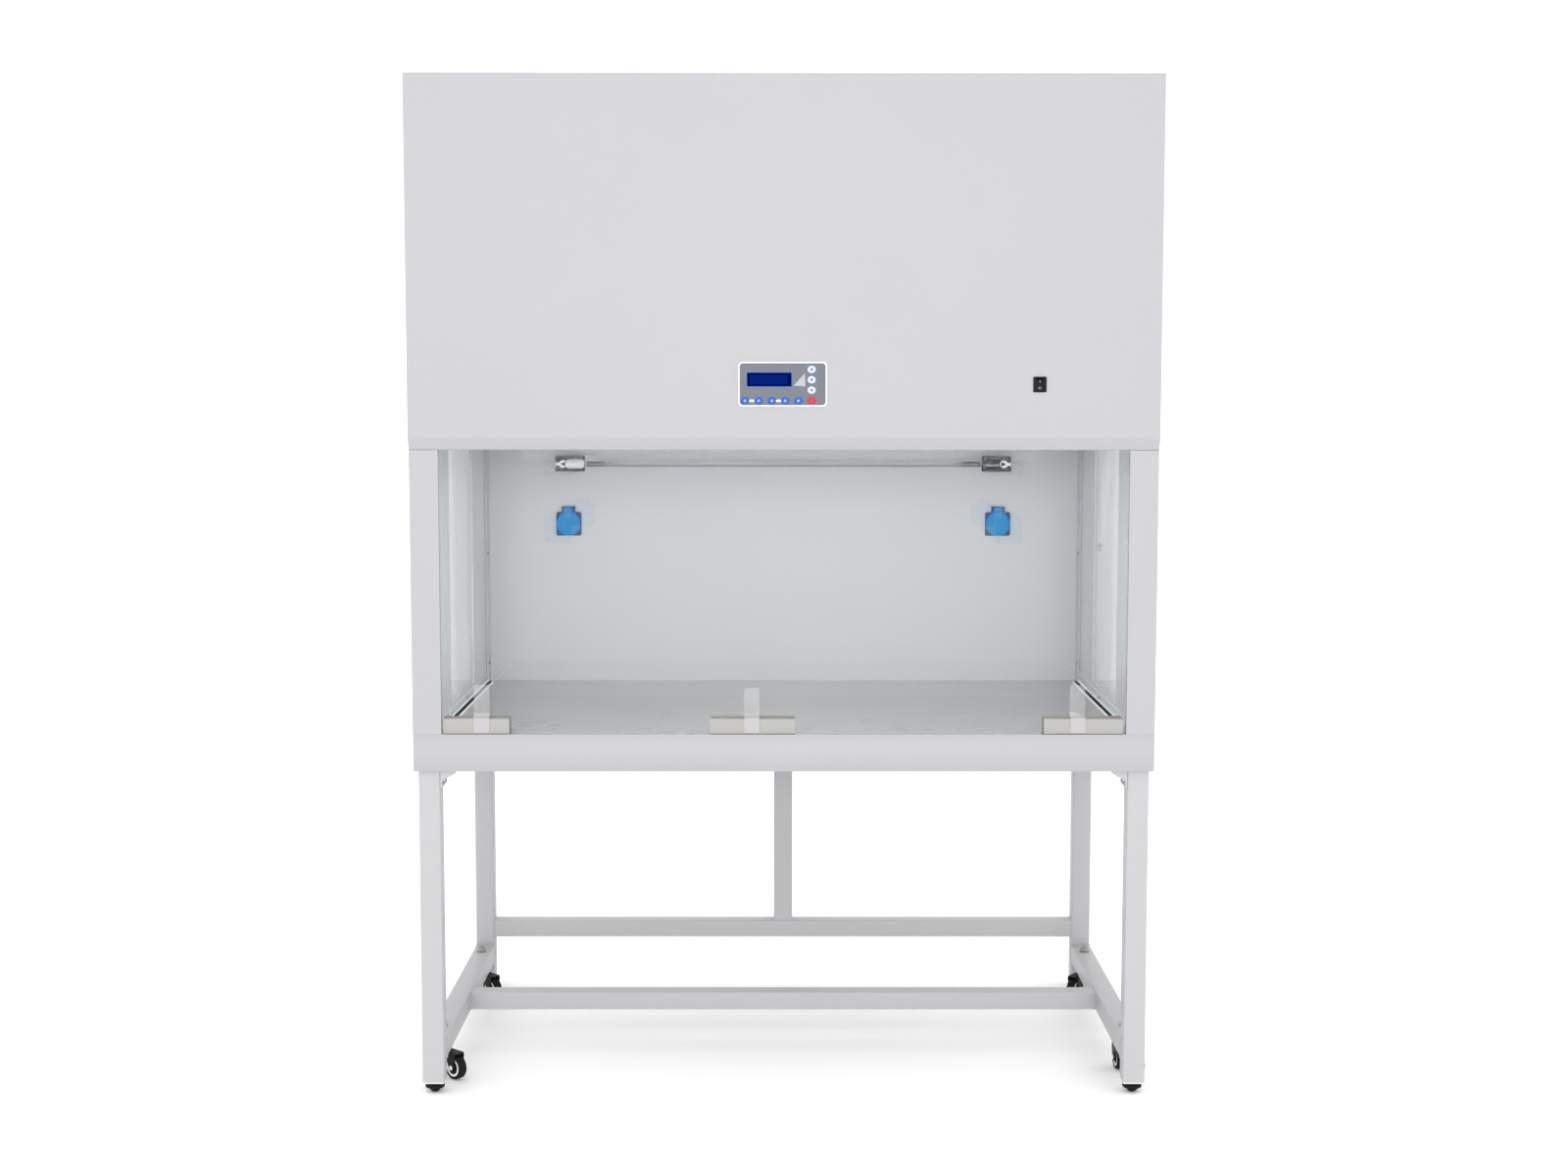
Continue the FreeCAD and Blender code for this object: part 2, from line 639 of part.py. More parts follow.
inlet_radius = 92.0
scroll = fused(round_bar(scroll_radius, (-scroll_half, scroll_y, scroll_z), (1, 0, 0), 2 * scroll_half),
               [box(-scroll_half, scroll_half, throat_y, scroll_y - 20, plenum_top, scroll_z)])
drum_start = (-scroll_half + 2, scroll_y, scroll_z)
inner_drum = round_bar(scroll_radius - 2, drum_start, (1, 0, 0), 2 * scroll_half - 4)
inner_throat = box(-scroll_half + 2, scroll_half - 2, throat_y + 2, scroll_y - 22, plenum_top - 1, scroll_z)
inner = fused(inner_drum, [inner_throat])
scroll = scroll.cut(inner)
inlet_start = (-scroll_half - 5, scroll_y, scroll_z)
scroll = scroll.cut(round_bar(inlet_radius, inlet_start, (1, 0, 0), 2 * scroll_half + 10))
save("blower_housing", scroll)

shaft_radius = 8.0
motor_radius = 55.0
motor_start = -scroll_half - 190
motor_length = 150.0
motor = round_bar(motor_radius, (motor_start, scroll_y, scroll_z), (1, 0, 0), motor_length)
motor_base = box(motor_start + 20, motor_start + motor_length - 20, scroll_y - 50, scroll_y + 50,
                 plenum_top, scroll_z - 30)
motor = fused(motor, [motor_base])
shaft_start = (motor_start + 30, scroll_y, scroll_z)
motor = motor.cut(round_bar(shaft_radius + running_gap, shaft_start, (1, 0, 0), 200))
save("blower_motor", motor)

cage_half = 112.0
cage_radius = 125.0
blade_inner = 97.0
hub_disc = round_bar(cage_radius, (-1.5, scroll_y, scroll_z), (1, 0, 0), 3)
hub = round_bar(22, (-15, scroll_y, scroll_z), (1, 0, 0), 30)
parts = [hub]
for ring_x in (-cage_half, cage_half - 3):
    ring = round_bar(cage_radius, (ring_x, scroll_y, scroll_z), (1, 0, 0), 3)
    ring = ring.cut(round_bar(blade_inner, (ring_x - 1, scroll_y, scroll_z), (1, 0, 0), 5))
    parts.append(ring)
for i in range(20):
    blade = box(-cage_half, cage_half, blade_inner + 1, cage_radius - 1, -1, 1)
    blade.rotate(FreeCAD.Vector(0, 0, 0), FreeCAD.Vector(1, 0, 0), i * 18)
    blade.translate(FreeCAD.Vector(0, scroll_y, scroll_z))
    parts.append(blade)
cage = fused(hub_disc, parts)
cage = cage.cut(round_bar(shaft_radius, (-50, scroll_y, scroll_z), (1, 0, 0), 100))
shaft = round_bar(shaft_radius, (motor_start + 40, scroll_y, scroll_z), (1, 0, 0), 20 - (motor_start + 40))
save("impeller", [cage, shaft])

prefilter_x = 310.0
prefilter_y = 150.0
prefilter_rim = 14.0
prefilter_drop = 22.0
mat_bottom = top_under - 16
prefilter = box(-prefilter_x, prefilter_x, -prefilter_y, prefilter_y, top_under - prefilter_drop, top_under)
prefilter = prefilter.cut(box(-prefilter_x + prefilter_rim, prefilter_x - prefilter_rim,
                              -prefilter_y + prefilter_rim, prefilter_y - prefilter_rim,
                              top_under - prefilter_drop - 1, mat_bottom))
save("prefilter", prefilter)

control_x = 300.0
control_y = -300.0
control_length = 200.0
control_width = 150.0
control_height = 80.0
control_wall = 2.0
control_box = box(control_x, control_x + control_length, control_y, control_y + control_width,
                  plenum_top, plenum_top + control_height)
control_box = control_box.cut(box(control_x + control_wall, control_x + control_length - control_wall,
                                  control_y + control_wall, control_y + control_width - control_wall,
                                  plenum_top + control_wall, plenum_top + control_height - control_wall))
control_box = control_box.cut(box(control_x + 40, control_x + 160, control_y + control_width - 5,
                                  control_y + control_width + 1, plenum_top + 20, plenum_top + 60))
save("control_box", control_box)

# ---- Sash, its guides, and the packing taped under it ----

guide_top = sash_height + window_bottom + 460
guide_x0 = half_width - post_width + sheet + touch_gap
guide = box(guide_x0, wall_x, sash_front - 4, sash_back + 4, worktop_level, guide_top)
guide = guide.cut(box(guide_x0 - 1, wall_x - 2.5, sash_front - sash_gap, sash_back + sash_gap,
                      worktop_level + 2, guide_top + 1))
save("sash_guides", [mirrored(guide), guide])

sash_bottom = worktop_level + pad_height
sash_half = wall_x - 3.5
sash = box(-sash_half, sash_half, sash_front, sash_back, sash_bottom, sash_bottom + sash_height)
save("sash_glass", sash)

pad_spans = [(-wall_x + 15, -wall_x + 136), (-135.4, 20.1), (wall_x - 162.7, wall_x - 17.3)]
tape_spans = [(-wall_x + 70.7, -wall_x + 99.7, 90), (-73, -45, 84), (wall_x - 114.7, wall_x - 86.7, 90)]
pads = []
for x0, x1 in pad_spans:
    pads.append(box(x0, x1, post_y + 3, sash_back + 22, worktop_level + touch_gap, sash_bottom))
save("transit_pads", pads)

tape_sheet = 0.3
tapes = []
for x0, x1, height in tape_spans:
    top = worktop_level + height
    inner_line = [
        (sash_front, top),
        (sash_front, sash_bottom + 6),
        (post_y + 3, sash_bottom),
        (post_y + 3, worktop_level + 2),
    ]
    outer_line = [
        (post_y + 3 - tape_sheet, worktop_level + 2),
        (post_y + 3 - tape_sheet, sash_bottom + 0.2),
        (sash_front - tape_sheet, sash_bottom + 6.2),
        (sash_front - tape_sheet, top),
    ]
    tapes.append(prism_x(inner_line + outer_line, x0, x1))
save("transit_tapes", tapes)

# ---- Control panel: bezel, display and keys ----

bezel_front = fascia_y - 2.5
plate_back = fascia_y + 1.5
housing_back = fascia_y + 19
bezel = rounded_plate(panel_x - bezel_half_x, panel_x + bezel_half_x, panel_z - bezel_half_z,
                      panel_z + bezel_half_z, bezel_front, fascia_y, 8)
housing = box(panel_x - housing_half_x, panel_x + housing_half_x, bezel_front + 1, housing_back,
              panel_z - housing_half_z, panel_z + housing_half_z)
bezel = fused(bezel, [housing])
bezel_room = box(panel_x - housing_half_x + 0.8, panel_x + housing_half_x - 0.8, plate_back, housing_back - 1,
                 panel_z - housing_half_z + 0.8, panel_z + housing_half_z - 0.8)
bezel = bezel.cut(bezel_room)
cable_hole = box(panel_x - 30, panel_x + 30, housing_back - 2, housing_back + 1, panel_z - 5, panel_z + 25)
bezel = bezel.cut(cable_hole)
lcd_x0 = -67.9
lcd_x1 = 14.2
lcd_z0 = 1312.5
lcd_z1 = 1339.0
bezel = bezel.cut(box(lcd_x0, lcd_x1, bezel_front - 1, plate_back + 1, lcd_z0, lcd_z1))
lcd = box(lcd_x0, lcd_x1, bezel_front + 0.6, plate_back, lcd_z0, lcd_z1)
save("lcd_screen", lcd)

key_radius = 6.6
key_gap = 0.4
key_proud = 0.8
row_z = 1287.6
column_x = 49.5
single_keys = {
    "key_up": (column_x, 1343.9),
    "key_middle": (column_x, 1325.4),
    "key_down": (column_x, 1306.9),
    "key_stop": (column_x, row_z + 0.8),
    "key_light": (25.7, row_z),
}


def key_shape(x, z, slack):
    flange_y = plate_back + slack
    cap = round_bar(key_radius, (x, bezel_front - key_proud, z), (0, 1, 0), flange_y - bezel_front + key_proud)
    flange = round_bar(key_radius + 1.1, (x, flange_y, z), (0, 1, 0), 1)
    return [cap, flange]


for name, (x, z) in single_keys.items():
    cap, flange = key_shape(x, z, 0.2)
    bezel = bezel.cut(round_bar(key_radius + key_gap, (x, bezel_front - 2, z), (0, 1, 0), 8))
    save(name, fused(cap, [flange]))
key_pairs = {"key_pair_fan": (-70.8, -46.0), "key_pair_timer": (-22.1, 1.8)}
for name, (x0, x1) in key_pairs.items():
    first, first_flange = key_shape(x0, row_z, 0.8)
    second, second_flange = key_shape(x1, row_z, 0.8)
    bar = box(x0, x1, bezel_front - 0.5, plate_back + 1.8, row_z - 2, row_z + 2)
    for x in (x0, x1):
        bezel = bezel.cut(round_bar(key_radius + key_gap, (x, bezel_front - 2, row_z), (0, 1, 0), 8))
    bezel = bezel.cut(box(x0, x1, bezel_front - 2, plate_back + 1, row_z - 2.4, row_z + 2.4))
    save(name, fused(first, [first_flange, second, second_flange, bar]))
save("control_panel", bezel)

# ---- Rocker switch ----

switch_front = fascia_y - 2
rocker_tilt = 7.0
lobe_depth = 6.4
lobe_height = 10.2
tilt = math.radians(rocker_tilt)
pivot_y = fascia_y - fixture_reach + lobe_depth * math.cos(tilt) + lobe_height * math.sin(tilt)
housing = rounded_plate(switch_x - 12, switch_x + 12, switch_z - 14, switch_z + 14,
                        switch_front, fascia_y, 1.5)
switch_body = box(switch_x - switch_half_x, switch_x + switch_half_x, fascia_y - 1, fascia_y + 19,
                  switch_z - switch_half_z, switch_z + switch_half_z)
housing = fused(housing, [switch_body])
housing = housing.cut(box(switch_x - 7, switch_x + 7, switch_front - 1, fascia_y + 12,
                          switch_z - 11.3, switch_z + 11.3))
housing = housing.cut(round_bar(1.5 + running_gap, (switch_x - 9, pivot_y, switch_z), (1, 0, 0), 18))
save("switch_housing", housing)

rocker_points = [
    (pivot_y + 3, switch_z - 8),
    (pivot_y - lobe_depth, switch_z - lobe_height),
    (pivot_y - 5.0, switch_z),
    (pivot_y - lobe_depth, switch_z + lobe_height),
    (pivot_y + 3, switch_z + 8),
]
rocker = prism_x(rocker_points, switch_x - 6.7, switch_x + 6.7)
stub = round_bar(1.5, (switch_x - 8.7, pivot_y, switch_z), (1, 0, 0), 17.4)
rocker = fused(rocker, [stub])
rocker.rotate(FreeCAD.Vector(switch_x, pivot_y, switch_z), FreeCAD.Vector(1, 0, 0), rocker_tilt)
save("rocker", rocker)

# ---- Screws and the window plug ----

screws = []
screw_head = 4.0
top_row = overall_height - 29
rear_heights = (worktop_level + 42, worktop_level + 282, opening_top + 31.3, top_row - 320, top_row)
for side in (-1, 1):
    for height in (42, 280):
        flange_screw = (side * (wall_x - sheet), back_wall_y - 11, worktop_level + height)
        screws.append(round_bar(screw_head, flange_screw, (-side, 0, 0), 1.6))
    kick_screw = (side * (wall_x - kick_proud), post_y + 409, worktop_level + 12)
    screws.append(round_bar(3.5, kick_screw, (-side, 0, 0), 1.6))
    for height in rear_heights:
        screws.append(round_bar(screw_head, (side * (half_width - 20), rear_y, height), (0, 1, 0), 2))
for x in (-400, -130, 130, 400):
    screws.append(round_bar(screw_head, (x, rear_y, top_row), (0, 1, 0), 2))
plug = round_bar(plug_radius, (skin_x - 1.5, plug_y, plug_z), (1, 0, 0), glass_thickness + 2)
plug_rim = round_bar(plug_radius + 3, (skin_x - 2.5, plug_y, plug_z), (1, 0, 0), 2.5)
screws.append(fused(plug, [plug_rim]))
save("body_screws", screws)
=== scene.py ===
import bpy, bmesh, json, math
from mathutils import Vector, Matrix, noise
from mathutils.geometry import tessellate_polygon


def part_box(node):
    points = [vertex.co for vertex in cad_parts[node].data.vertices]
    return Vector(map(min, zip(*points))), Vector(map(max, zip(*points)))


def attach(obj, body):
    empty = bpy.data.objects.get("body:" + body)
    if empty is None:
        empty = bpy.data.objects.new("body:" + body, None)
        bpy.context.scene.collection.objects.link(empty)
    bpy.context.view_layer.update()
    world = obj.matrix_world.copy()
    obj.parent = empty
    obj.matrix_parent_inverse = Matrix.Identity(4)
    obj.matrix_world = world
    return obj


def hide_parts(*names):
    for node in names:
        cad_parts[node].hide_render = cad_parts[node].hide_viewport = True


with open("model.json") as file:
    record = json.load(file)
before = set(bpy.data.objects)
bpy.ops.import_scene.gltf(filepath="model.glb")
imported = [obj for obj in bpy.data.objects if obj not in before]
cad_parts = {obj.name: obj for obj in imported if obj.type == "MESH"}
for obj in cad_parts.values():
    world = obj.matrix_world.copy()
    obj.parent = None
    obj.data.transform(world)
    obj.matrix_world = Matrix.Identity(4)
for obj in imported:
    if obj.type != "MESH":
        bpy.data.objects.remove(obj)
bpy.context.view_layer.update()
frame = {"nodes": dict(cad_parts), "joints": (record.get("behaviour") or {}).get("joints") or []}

scene = bpy.context.scene
nodeOf = frame["nodes"]
mm = 0.001

# Measures read from the frame
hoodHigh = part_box("hood_sides")[1]
frontLow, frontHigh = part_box("fascia")
trayLow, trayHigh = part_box("base_tray")
backLow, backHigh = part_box("back_wall")
postLow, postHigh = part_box("rear_post")
legsLow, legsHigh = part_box("legs")
tubeSize = postHigh.x - postLow.x
print("frame read:", len(nodeOf), "nodes")


def jointOf(body):
    return [j for j in frame["joints"] if j["child"] == body][0]


# Shader groups
def startGroup(name, inputs, outputs):
    tree = bpy.data.node_groups.new(name, "ShaderNodeTree")
    kinds = {"c": "NodeSocketColor", "f": "NodeSocketFloat", "v": "NodeSocketVector"}
    for label, kind in inputs:
        tree.interface.new_socket(name=label, in_out="INPUT", socket_type=kinds[kind])
    for label, kind in outputs:
        tree.interface.new_socket(name=label, in_out="OUTPUT", socket_type=kinds[kind])
    entry = tree.nodes.new("NodeGroupInput")
    leave = tree.nodes.new("NodeGroupOutput")
    return tree, entry, leave


def feed(tree, socket, value):
    # Links an output to a socket, or sets a plain value on it.
    if hasattr(value, "links"):
        tree.links.new(value, socket)
    else:
        socket.default_value = value


def addNoise(tree, vector, scale, detail=3.0, rough=0.5):
    tex = tree.nodes.new("ShaderNodeTexNoise")
    tex.inputs["Detail"].default_value = detail
    tex.inputs["Roughness"].default_value = rough
    tree.links.new(vector, tex.inputs["Vector"])
    feed(tree, tex.inputs["Scale"], scale)
    return tex.outputs["Fac"]


def addMath(tree, kind, a, b):
    node = tree.nodes.new("ShaderNodeMath")
    node.operation = kind
    for socket, value in zip(node.inputs, (a, b)):
        feed(tree, socket, value)
    return node.outputs[0]


def addMix(tree, fac, a, b):
    node = tree.nodes.new("ShaderNodeMix")
    node.data_type = "RGBA"
    for socket, value in ((node.inputs["Factor"], fac), (node.inputs[6], a), (node.inputs[7], b)):
        feed(tree, socket, value)
    return node.outputs[2]


def makeMottle():
    # Two tones blended by a soft cloud, with a little fine speckle.
    tree, entry, leave = startGroup("cloudedTone", [("Tone", "c"), ("Shade", "c"), ("Scale", "f"),
                                                    ("Amount", "f")], [("Color", "c")])
    coords = tree.nodes.new("ShaderNodeTexCoord").outputs["Object"]
    cloud = addNoise(tree, coords, entry.outputs["Scale"], 4.0)
    speck = addNoise(tree, coords, 900.0, 1.0)
    blend = addMath(tree, "ADD", addMath(tree, "MULTIPLY", cloud, 0.8), addMath(tree, "MULTIPLY", speck, 0.2))
    fac = addMath(tree, "MULTIPLY", blend, entry.outputs["Amount"])
    tree.links.new(addMix(tree, fac, entry.outputs["Tone"], entry.outputs["Shade"]), leave.inputs["Color"])
    return tree


def makeGrain():
    # Height of a stretched or even grain, for a Bump node.
    tree, entry, leave = startGroup("surfaceGrain", [("Scale", "f"), ("Stretch", "v"), ("Soft", "f")],
                                    [("Height", "f")])
    coords = tree.nodes.new("ShaderNodeTexCoord").outputs["Object"]
    scaled = tree.nodes.new("ShaderNodeVectorMath")
    scaled.operation = "MULTIPLY"
    tree.links.new(coords, scaled.inputs[0])
    tree.links.new(entry.outputs["Stretch"], scaled.inputs[1])
    fine = addNoise(tree, scaled.outputs[0], entry.outputs["Scale"], 2.0)
    broad = addNoise(tree, coords, 9.0, 2.0)
    total = addMath(tree, "ADD", fine, addMath(tree, "MULTIPLY", broad, entry.outputs["Soft"]))
    tree.links.new(total, leave.inputs["Height"])
    return tree


def makeWiped():
    # Roughness that drifts between two values, as on a surface wiped by hand.
    tree, entry, leave = startGroup("wipedGloss", [("Scale", "f"), ("Low", "f"), ("High", "f")],
                                    [("Roughness", "f")])
    coords = tree.nodes.new("ShaderNodeTexCoord").outputs["Object"]
    cloud = addNoise(tree, coords, entry.outputs["Scale"], 5.0, 0.6)
    span = addMath(tree, "SUBTRACT", entry.outputs["High"], entry.outputs["Low"])
    tree.links.new(addMath(tree, "ADD", entry.outputs["Low"], addMath(tree, "MULTIPLY", cloud, span)),
                   leave.inputs["Roughness"])
    return tree


def makeSettled():
    # A thin pale film on faces that look up.
    tree, entry, leave = startGroup("settledDust", [("Color", "c"), ("Film", "c"), ("Amount", "f")],
                                    [("Color", "c"), ("Mask", "f")])
    geometry = tree.nodes.new("ShaderNodeNewGeometry")
    split = tree.nodes.new("ShaderNodeSeparateXYZ")
    tree.links.new(geometry.outputs["Normal"], split.inputs[0])
    up = addMath(tree, "MAXIMUM", split.outputs["Z"], 0.0)
    coords = tree.nodes.new("ShaderNodeTexCoord").outputs["Object"]
    cloud = addNoise(tree, coords, 14.0, 5.0, 0.65)
    mask = addMath(tree, "MULTIPLY", addMath(tree, "MULTIPLY", up, cloud), entry.outputs["Amount"])
    tree.links.new(addMix(tree, mask, entry.outputs["Color"], entry.outputs["Film"]), leave.inputs["Color"])
    tree.links.new(mask, leave.inputs["Mask"])
    return tree


cloudedTone = makeMottle()
surfaceGrain = makeGrain()
wipedGloss = makeWiped()
settledDust = makeSettled()


def placeGroup(tree, group, **values):
    node = tree.nodes.new("ShaderNodeGroup")
    node.node_tree = group
    for label, value in values.items():
        node.inputs[label].default_value = value
    return node


def makeMaterial(name, look):
    # One material from a dictionary of what the finish is like.
    material = bpy.data.materials.new(name)
    material.use_nodes = True
    tree = material.node_tree
    tree.nodes.clear()
    out = tree.nodes.new("ShaderNodeOutputMaterial")
    shader = tree.nodes.new("ShaderNodeBsdfPrincipled")
    tree.links.new(shader.outputs[0], out.inputs["Surface"])
    tone = look["tone"]
    shade = look.get("shade", tuple(c * 0.93 for c in tone))
    colour = placeGroup(tree, cloudedTone, Tone=(*tone, 1), Shade=(*shade, 1), Scale=look.get("cloud", 3.0),
                        Amount=look.get("cloudAmount", 0.6))
    last = colour.outputs["Color"]
    if look.get("dust", 0.0) > 0.0:
        dust = placeGroup(tree, settledDust, Film=(*look.get("film", (0.72, 0.71, 0.69)), 1),
                          Amount=look["dust"])
        tree.links.new(last, dust.inputs["Color"])
        last = dust.outputs["Color"]
    tree.links.new(last, shader.inputs["Base Color"])
    low, high = look.get("rough", (0.35, 0.5))
    gloss = placeGroup(tree, wipedGloss, Scale=look.get("wipe", 6.0), Low=low, High=high)
    tree.links.new(gloss.outputs["Roughness"], shader.inputs["Roughness"])
    grain = placeGroup(tree, surfaceGrain, Scale=look.get("grain", 700.0),
                       Stretch=look.get("stretch", (1, 1, 1)), Soft=look.get("wave", 0.0))
    bump = tree.nodes.new("ShaderNodeBump")
    bump.inputs["Strength"].default_value = look.get("bump", 0.1)
    bump.inputs["Distance"].default_value = look.get("depth", 0.0002)
    tree.links.new(grain.outputs["Height"], bump.inputs["Height"])
    tree.links.new(bump.outputs["Normal"], shader.inputs["Normal"])
    shader.inputs["Specular IOR Level"].default_value = look.get("spec", 0.5)
    shader.inputs["Metallic"].default_value = look.get("metal", 0.0)
    shader.inputs["Anisotropic"].default_value = look.get("brushed", 0.0)
    shader.inputs["Emission Color"].default_value = (1, 1, 1, 1)
    shader.inputs["Emission Strength"].default_value = look.get("glow", 0.0)
    return material


finishes = {
    "whitePaint": {"tone": (0.409, 0.409, 0.425), "shade": (0.396, 0.396, 0.411), "rough": (0.34, 0.44),
                   "grain": 520.0, "bump": 0.10, "wave": 0.3, "spec": 0.15},
    "framePaint": {"tone": (0.438, 0.438, 0.449), "shade": (0.422, 0.422, 0.433), "rough": (0.34, 0.44),
                   "grain": 520.0, "bump": 0.10, "dust": 0.05, "spec": 0.15},
    # Painted light: the chamber's back wall and side liners are far paler than the same white paint outside,
    # to light the chamber.
    "wallPaintedLight": {"tone": (0.72, 0.748, 0.768), "shade": (0.71, 0.738, 0.757), "rough": (0.30, 0.40),
                  "cloud": 2.2, "grain": 420.0, "bump": 0.04, "wave": 0.4, "spec": 0.3},
    "linerPaintedLight": {"tone": (0.87, 0.895, 0.91), "shade": (0.85, 0.875, 0.89), "rough": (0.07, 0.12),
                   "cloud": 2.2, "grain": 420.0, "bump": 0.02, "wave": 0.2, "spec": 0.5},
    # Painted shade: a darker grey for the strip in the chamber's rear corners.
    "cornerShade": {"tone": (0.651, 0.666, 0.684), "rough": (0.4, 0.55), "grain": 300.0,
                   "stretch": (1, 1, 0.05), "bump": 0.15},
    "polishedSteel": {"tone": (0.62, 0.605, 0.61), "shade": (0.59, 0.575, 0.58), "rough": (0.16, 0.24),
                      "cloud": 5.0, "grain": 260.0, "stretch": (0.02, 1, 1), "bump": 0.05, "wave": 0.4,
                      "metal": 0.5, "brushed": 0.4},
    # Painted highlight: a pale finish that glows a little, for bright edges and white parts in the chamber.
    "paintedGlintWhite": {"tone": (0.90, 0.91, 0.92), "rough": (0.12, 0.2), "grain": 200.0, "stretch": (1, 0.05, 1),
                  "bump": 0.05, "glow": 0.22},
    "zincSteel": {"tone": (0.40, 0.40, 0.39), "shade": (0.20, 0.205, 0.20), "rough": (0.2, 0.38),
                  "cloud": 90.0, "grain": 900.0, "bump": 0.25, "metal": 1.0},
    # Painted reflection: the polished clip is drawn near-black and not metallic, for the dark reflection it
    # shows.
    "clipDarkReflection": {"tone": (0.016, 0.016, 0.018), "shade": (0.05, 0.05, 0.055), "rough": (0.25, 0.4),
                  "cloud": 220.0, "spec": 0.3},
    "capSteel": {"tone": (0.40, 0.43, 0.52), "shade": (0.16, 0.17, 0.20), "rough": (0.12, 0.3),
                 "cloud": 160.0, "cloudAmount": 0.9, "bump": 0.1, "metal": 1.0},
    "galvanised": {"tone": (0.56, 0.58, 0.60), "shade": (0.40, 0.42, 0.44), "rough": (0.35, 0.55),
                   "cloud": 45.0, "cloudAmount": 1.0, "bump": 0.15, "dust": 0.2, "metal": 0.8},
    "castMetal": {"tone": (0.30, 0.31, 0.32), "rough": (0.5, 0.7), "cloud": 30.0, "grain": 320.0,
                  "bump": 0.6, "metal": 0.5},
    "anodised": {"tone": (0.66, 0.67, 0.68), "rough": (0.28, 0.36), "grain": 300.0, "stretch": (1, 1, 0.03),
                 "bump": 0.12, "metal": 0.9},
    "blackPlastic": {"tone": (0.006, 0.006, 0.006), "shade": (0.014, 0.014, 0.015), "rough": (0.32, 0.5),
                     "grain": 800.0, "bump": 0.3, "dust": 0.005, "spec": 0.12},
    "blackRubber": {"tone": (0.006, 0.006, 0.006), "shade": (0.014, 0.013, 0.013), "rough": (0.6, 0.8),
                    "grain": 600.0, "bump": 0.5, "dust": 0.01, "spec": 0.12},
    "sealRubber": {"tone": (0.004, 0.004, 0.004), "rough": (0.6, 0.8), "bump": 0.2, "spec": 0.1},
    "tyreRubber": {"tone": (0.006, 0.006, 0.006), "shade": (0.014, 0.013, 0.013), "rough": (0.45, 0.7),
                   "grain": 500.0, "bump": 0.4, "dust": 0.01, "film": (0.05, 0.048, 0.045), "spec": 0.12},
    "whitePlastic": {"tone": (0.80, 0.80, 0.78), "rough": (0.3, 0.42), "grain": 800.0, "bump": 0.1},
    "rimPlastic": {"tone": (0.80, 0.79, 0.75), "shade": (0.66, 0.65, 0.61), "rough": (0.35, 0.5),
                   "grain": 700.0, "bump": 0.15},
    "bluePlastic": {"tone": (0.0050, 0.338, 0.775), "shade": (0.0037, 0.275, 0.700), "rough": (0.30, 0.42),
                    "grain": 900.0, "bump": 0.12, "spec": 0.05},
    # Painted shade: the socket plate is a far darker blue than its lid, for the shade round the lid.
    "blueShadedPlate": {"tone": (0.003, 0.070, 0.300), "shade": (0.003, 0.050, 0.230), "rough": (0.24, 0.34),
                 "grain": 900.0, "bump": 0.12, "spec": 0.15},
    "screwBrown": {"tone": (0.045, 0.030, 0.040), "shade": (0.16, 0.11, 0.10), "rough": (0.3, 0.5),
                   "cloud": 300.0, "bump": 0.1, "spec": 0.2},
    "overlayGrey": {"tone": (0.148, 0.155, 0.179), "shade": (0.136, 0.142, 0.166), "rough": (0.4, 0.5),
                    "grain": 1400.0, "bump": 0.2, "spec": 0.2},
    "overlayEdge": {"tone": (0.075, 0.081, 0.101), "rough": (0.4, 0.5), "bump": 0.1, "spec": 0.1},
    "borderPlastic": {"tone": (0.62, 0.62, 0.635), "rough": (0.3, 0.4), "bump": 0.08},
    "keyWhite": {"tone": (0.539, 0.577, 0.777), "rough": (0.3, 0.4), "bump": 0.06, "spec": 0.2},
    "keyViolet": {"tone": (0.126, 0.151, 0.530), "rough": (0.3, 0.4), "bump": 0.06, "spec": 0.1},
    "keyBlue": {"tone": (0.017, 0.104, 0.556), "rough": (0.3, 0.4), "bump": 0.06, "spec": 0.1},
    "keyRed": {"tone": (0.530, 0.028, 0.069), "rough": (0.3, 0.4), "bump": 0.06, "spec": 0.1},
    "printWhite": {"tone": (0.696, 0.707, 0.745), "rough": (0.3, 0.4), "bump": 0.05},
    "printSoft": {"tone": (0.326, 0.414, 0.651), "rough": (0.3, 0.4), "bump": 0.05, "spec": 0.1},
    "displayFrame": {"tone": (0.0004, 0.002, 0.055), "rough": (0.3, 0.4), "bump": 0.02, "spec": 0.0},
    "displayGlow": {"tone": (0.0010, 0.011, 0.132), "shade": (0.0010, 0.0076, 0.107), "rough": (0.3, 0.4),
                    "cloud": 120.0, "bump": 0.02, "spec": 0.0},
    "displayEdge": {"tone": (0.010, 0.150, 0.501), "rough": (0.3, 0.4), "bump": 0.02, "spec": 0.1},
    "foamWhite": {"tone": (0.368, 0.363, 0.346), "shade": (0.339, 0.334, 0.317), "rough": (0.8, 0.95),
                  "cloud": 160.0, "cloudAmount": 0.8, "grain": 420.0, "bump": 0.5, "depth": 0.0006},
    "paperTape": {"tone": (0.40, 0.39, 0.397), "shade": (0.37, 0.36, 0.363), "rough": (0.35, 0.5),
                  "cloud": 60.0, "bump": 0.2, "wave": 1.5},
    "filterCloth": {"tone": (0.72, 0.72, 0.69), "shade": (0.58, 0.58, 0.55), "rough": (0.85, 0.95),
                    "cloud": 80.0, "grain": 650.0, "bump": 0.8},
    "printPale": {"tone": (0.360, 0.369, 0.386), "rough": (0.4, 0.5), "bump": 0.05},
    "keyDeep": {"tone": (0.303, 0.010, 0.036), "rough": (0.3, 0.4), "bump": 0.06},
    "plugCream": {"tone": (0.68, 0.69, 0.62), "rough": (0.4, 0.5), "bump": 0.1},
    # Painted shade: a dark grey for the socket's pin holes.
    "holeShadeGrey": {"tone": (0.16, 0.165, 0.17), "rough": (0.5, 0.65), "bump": 0.3},
}
materials = {name: makeMaterial(name, look) for name, look in finishes.items()}


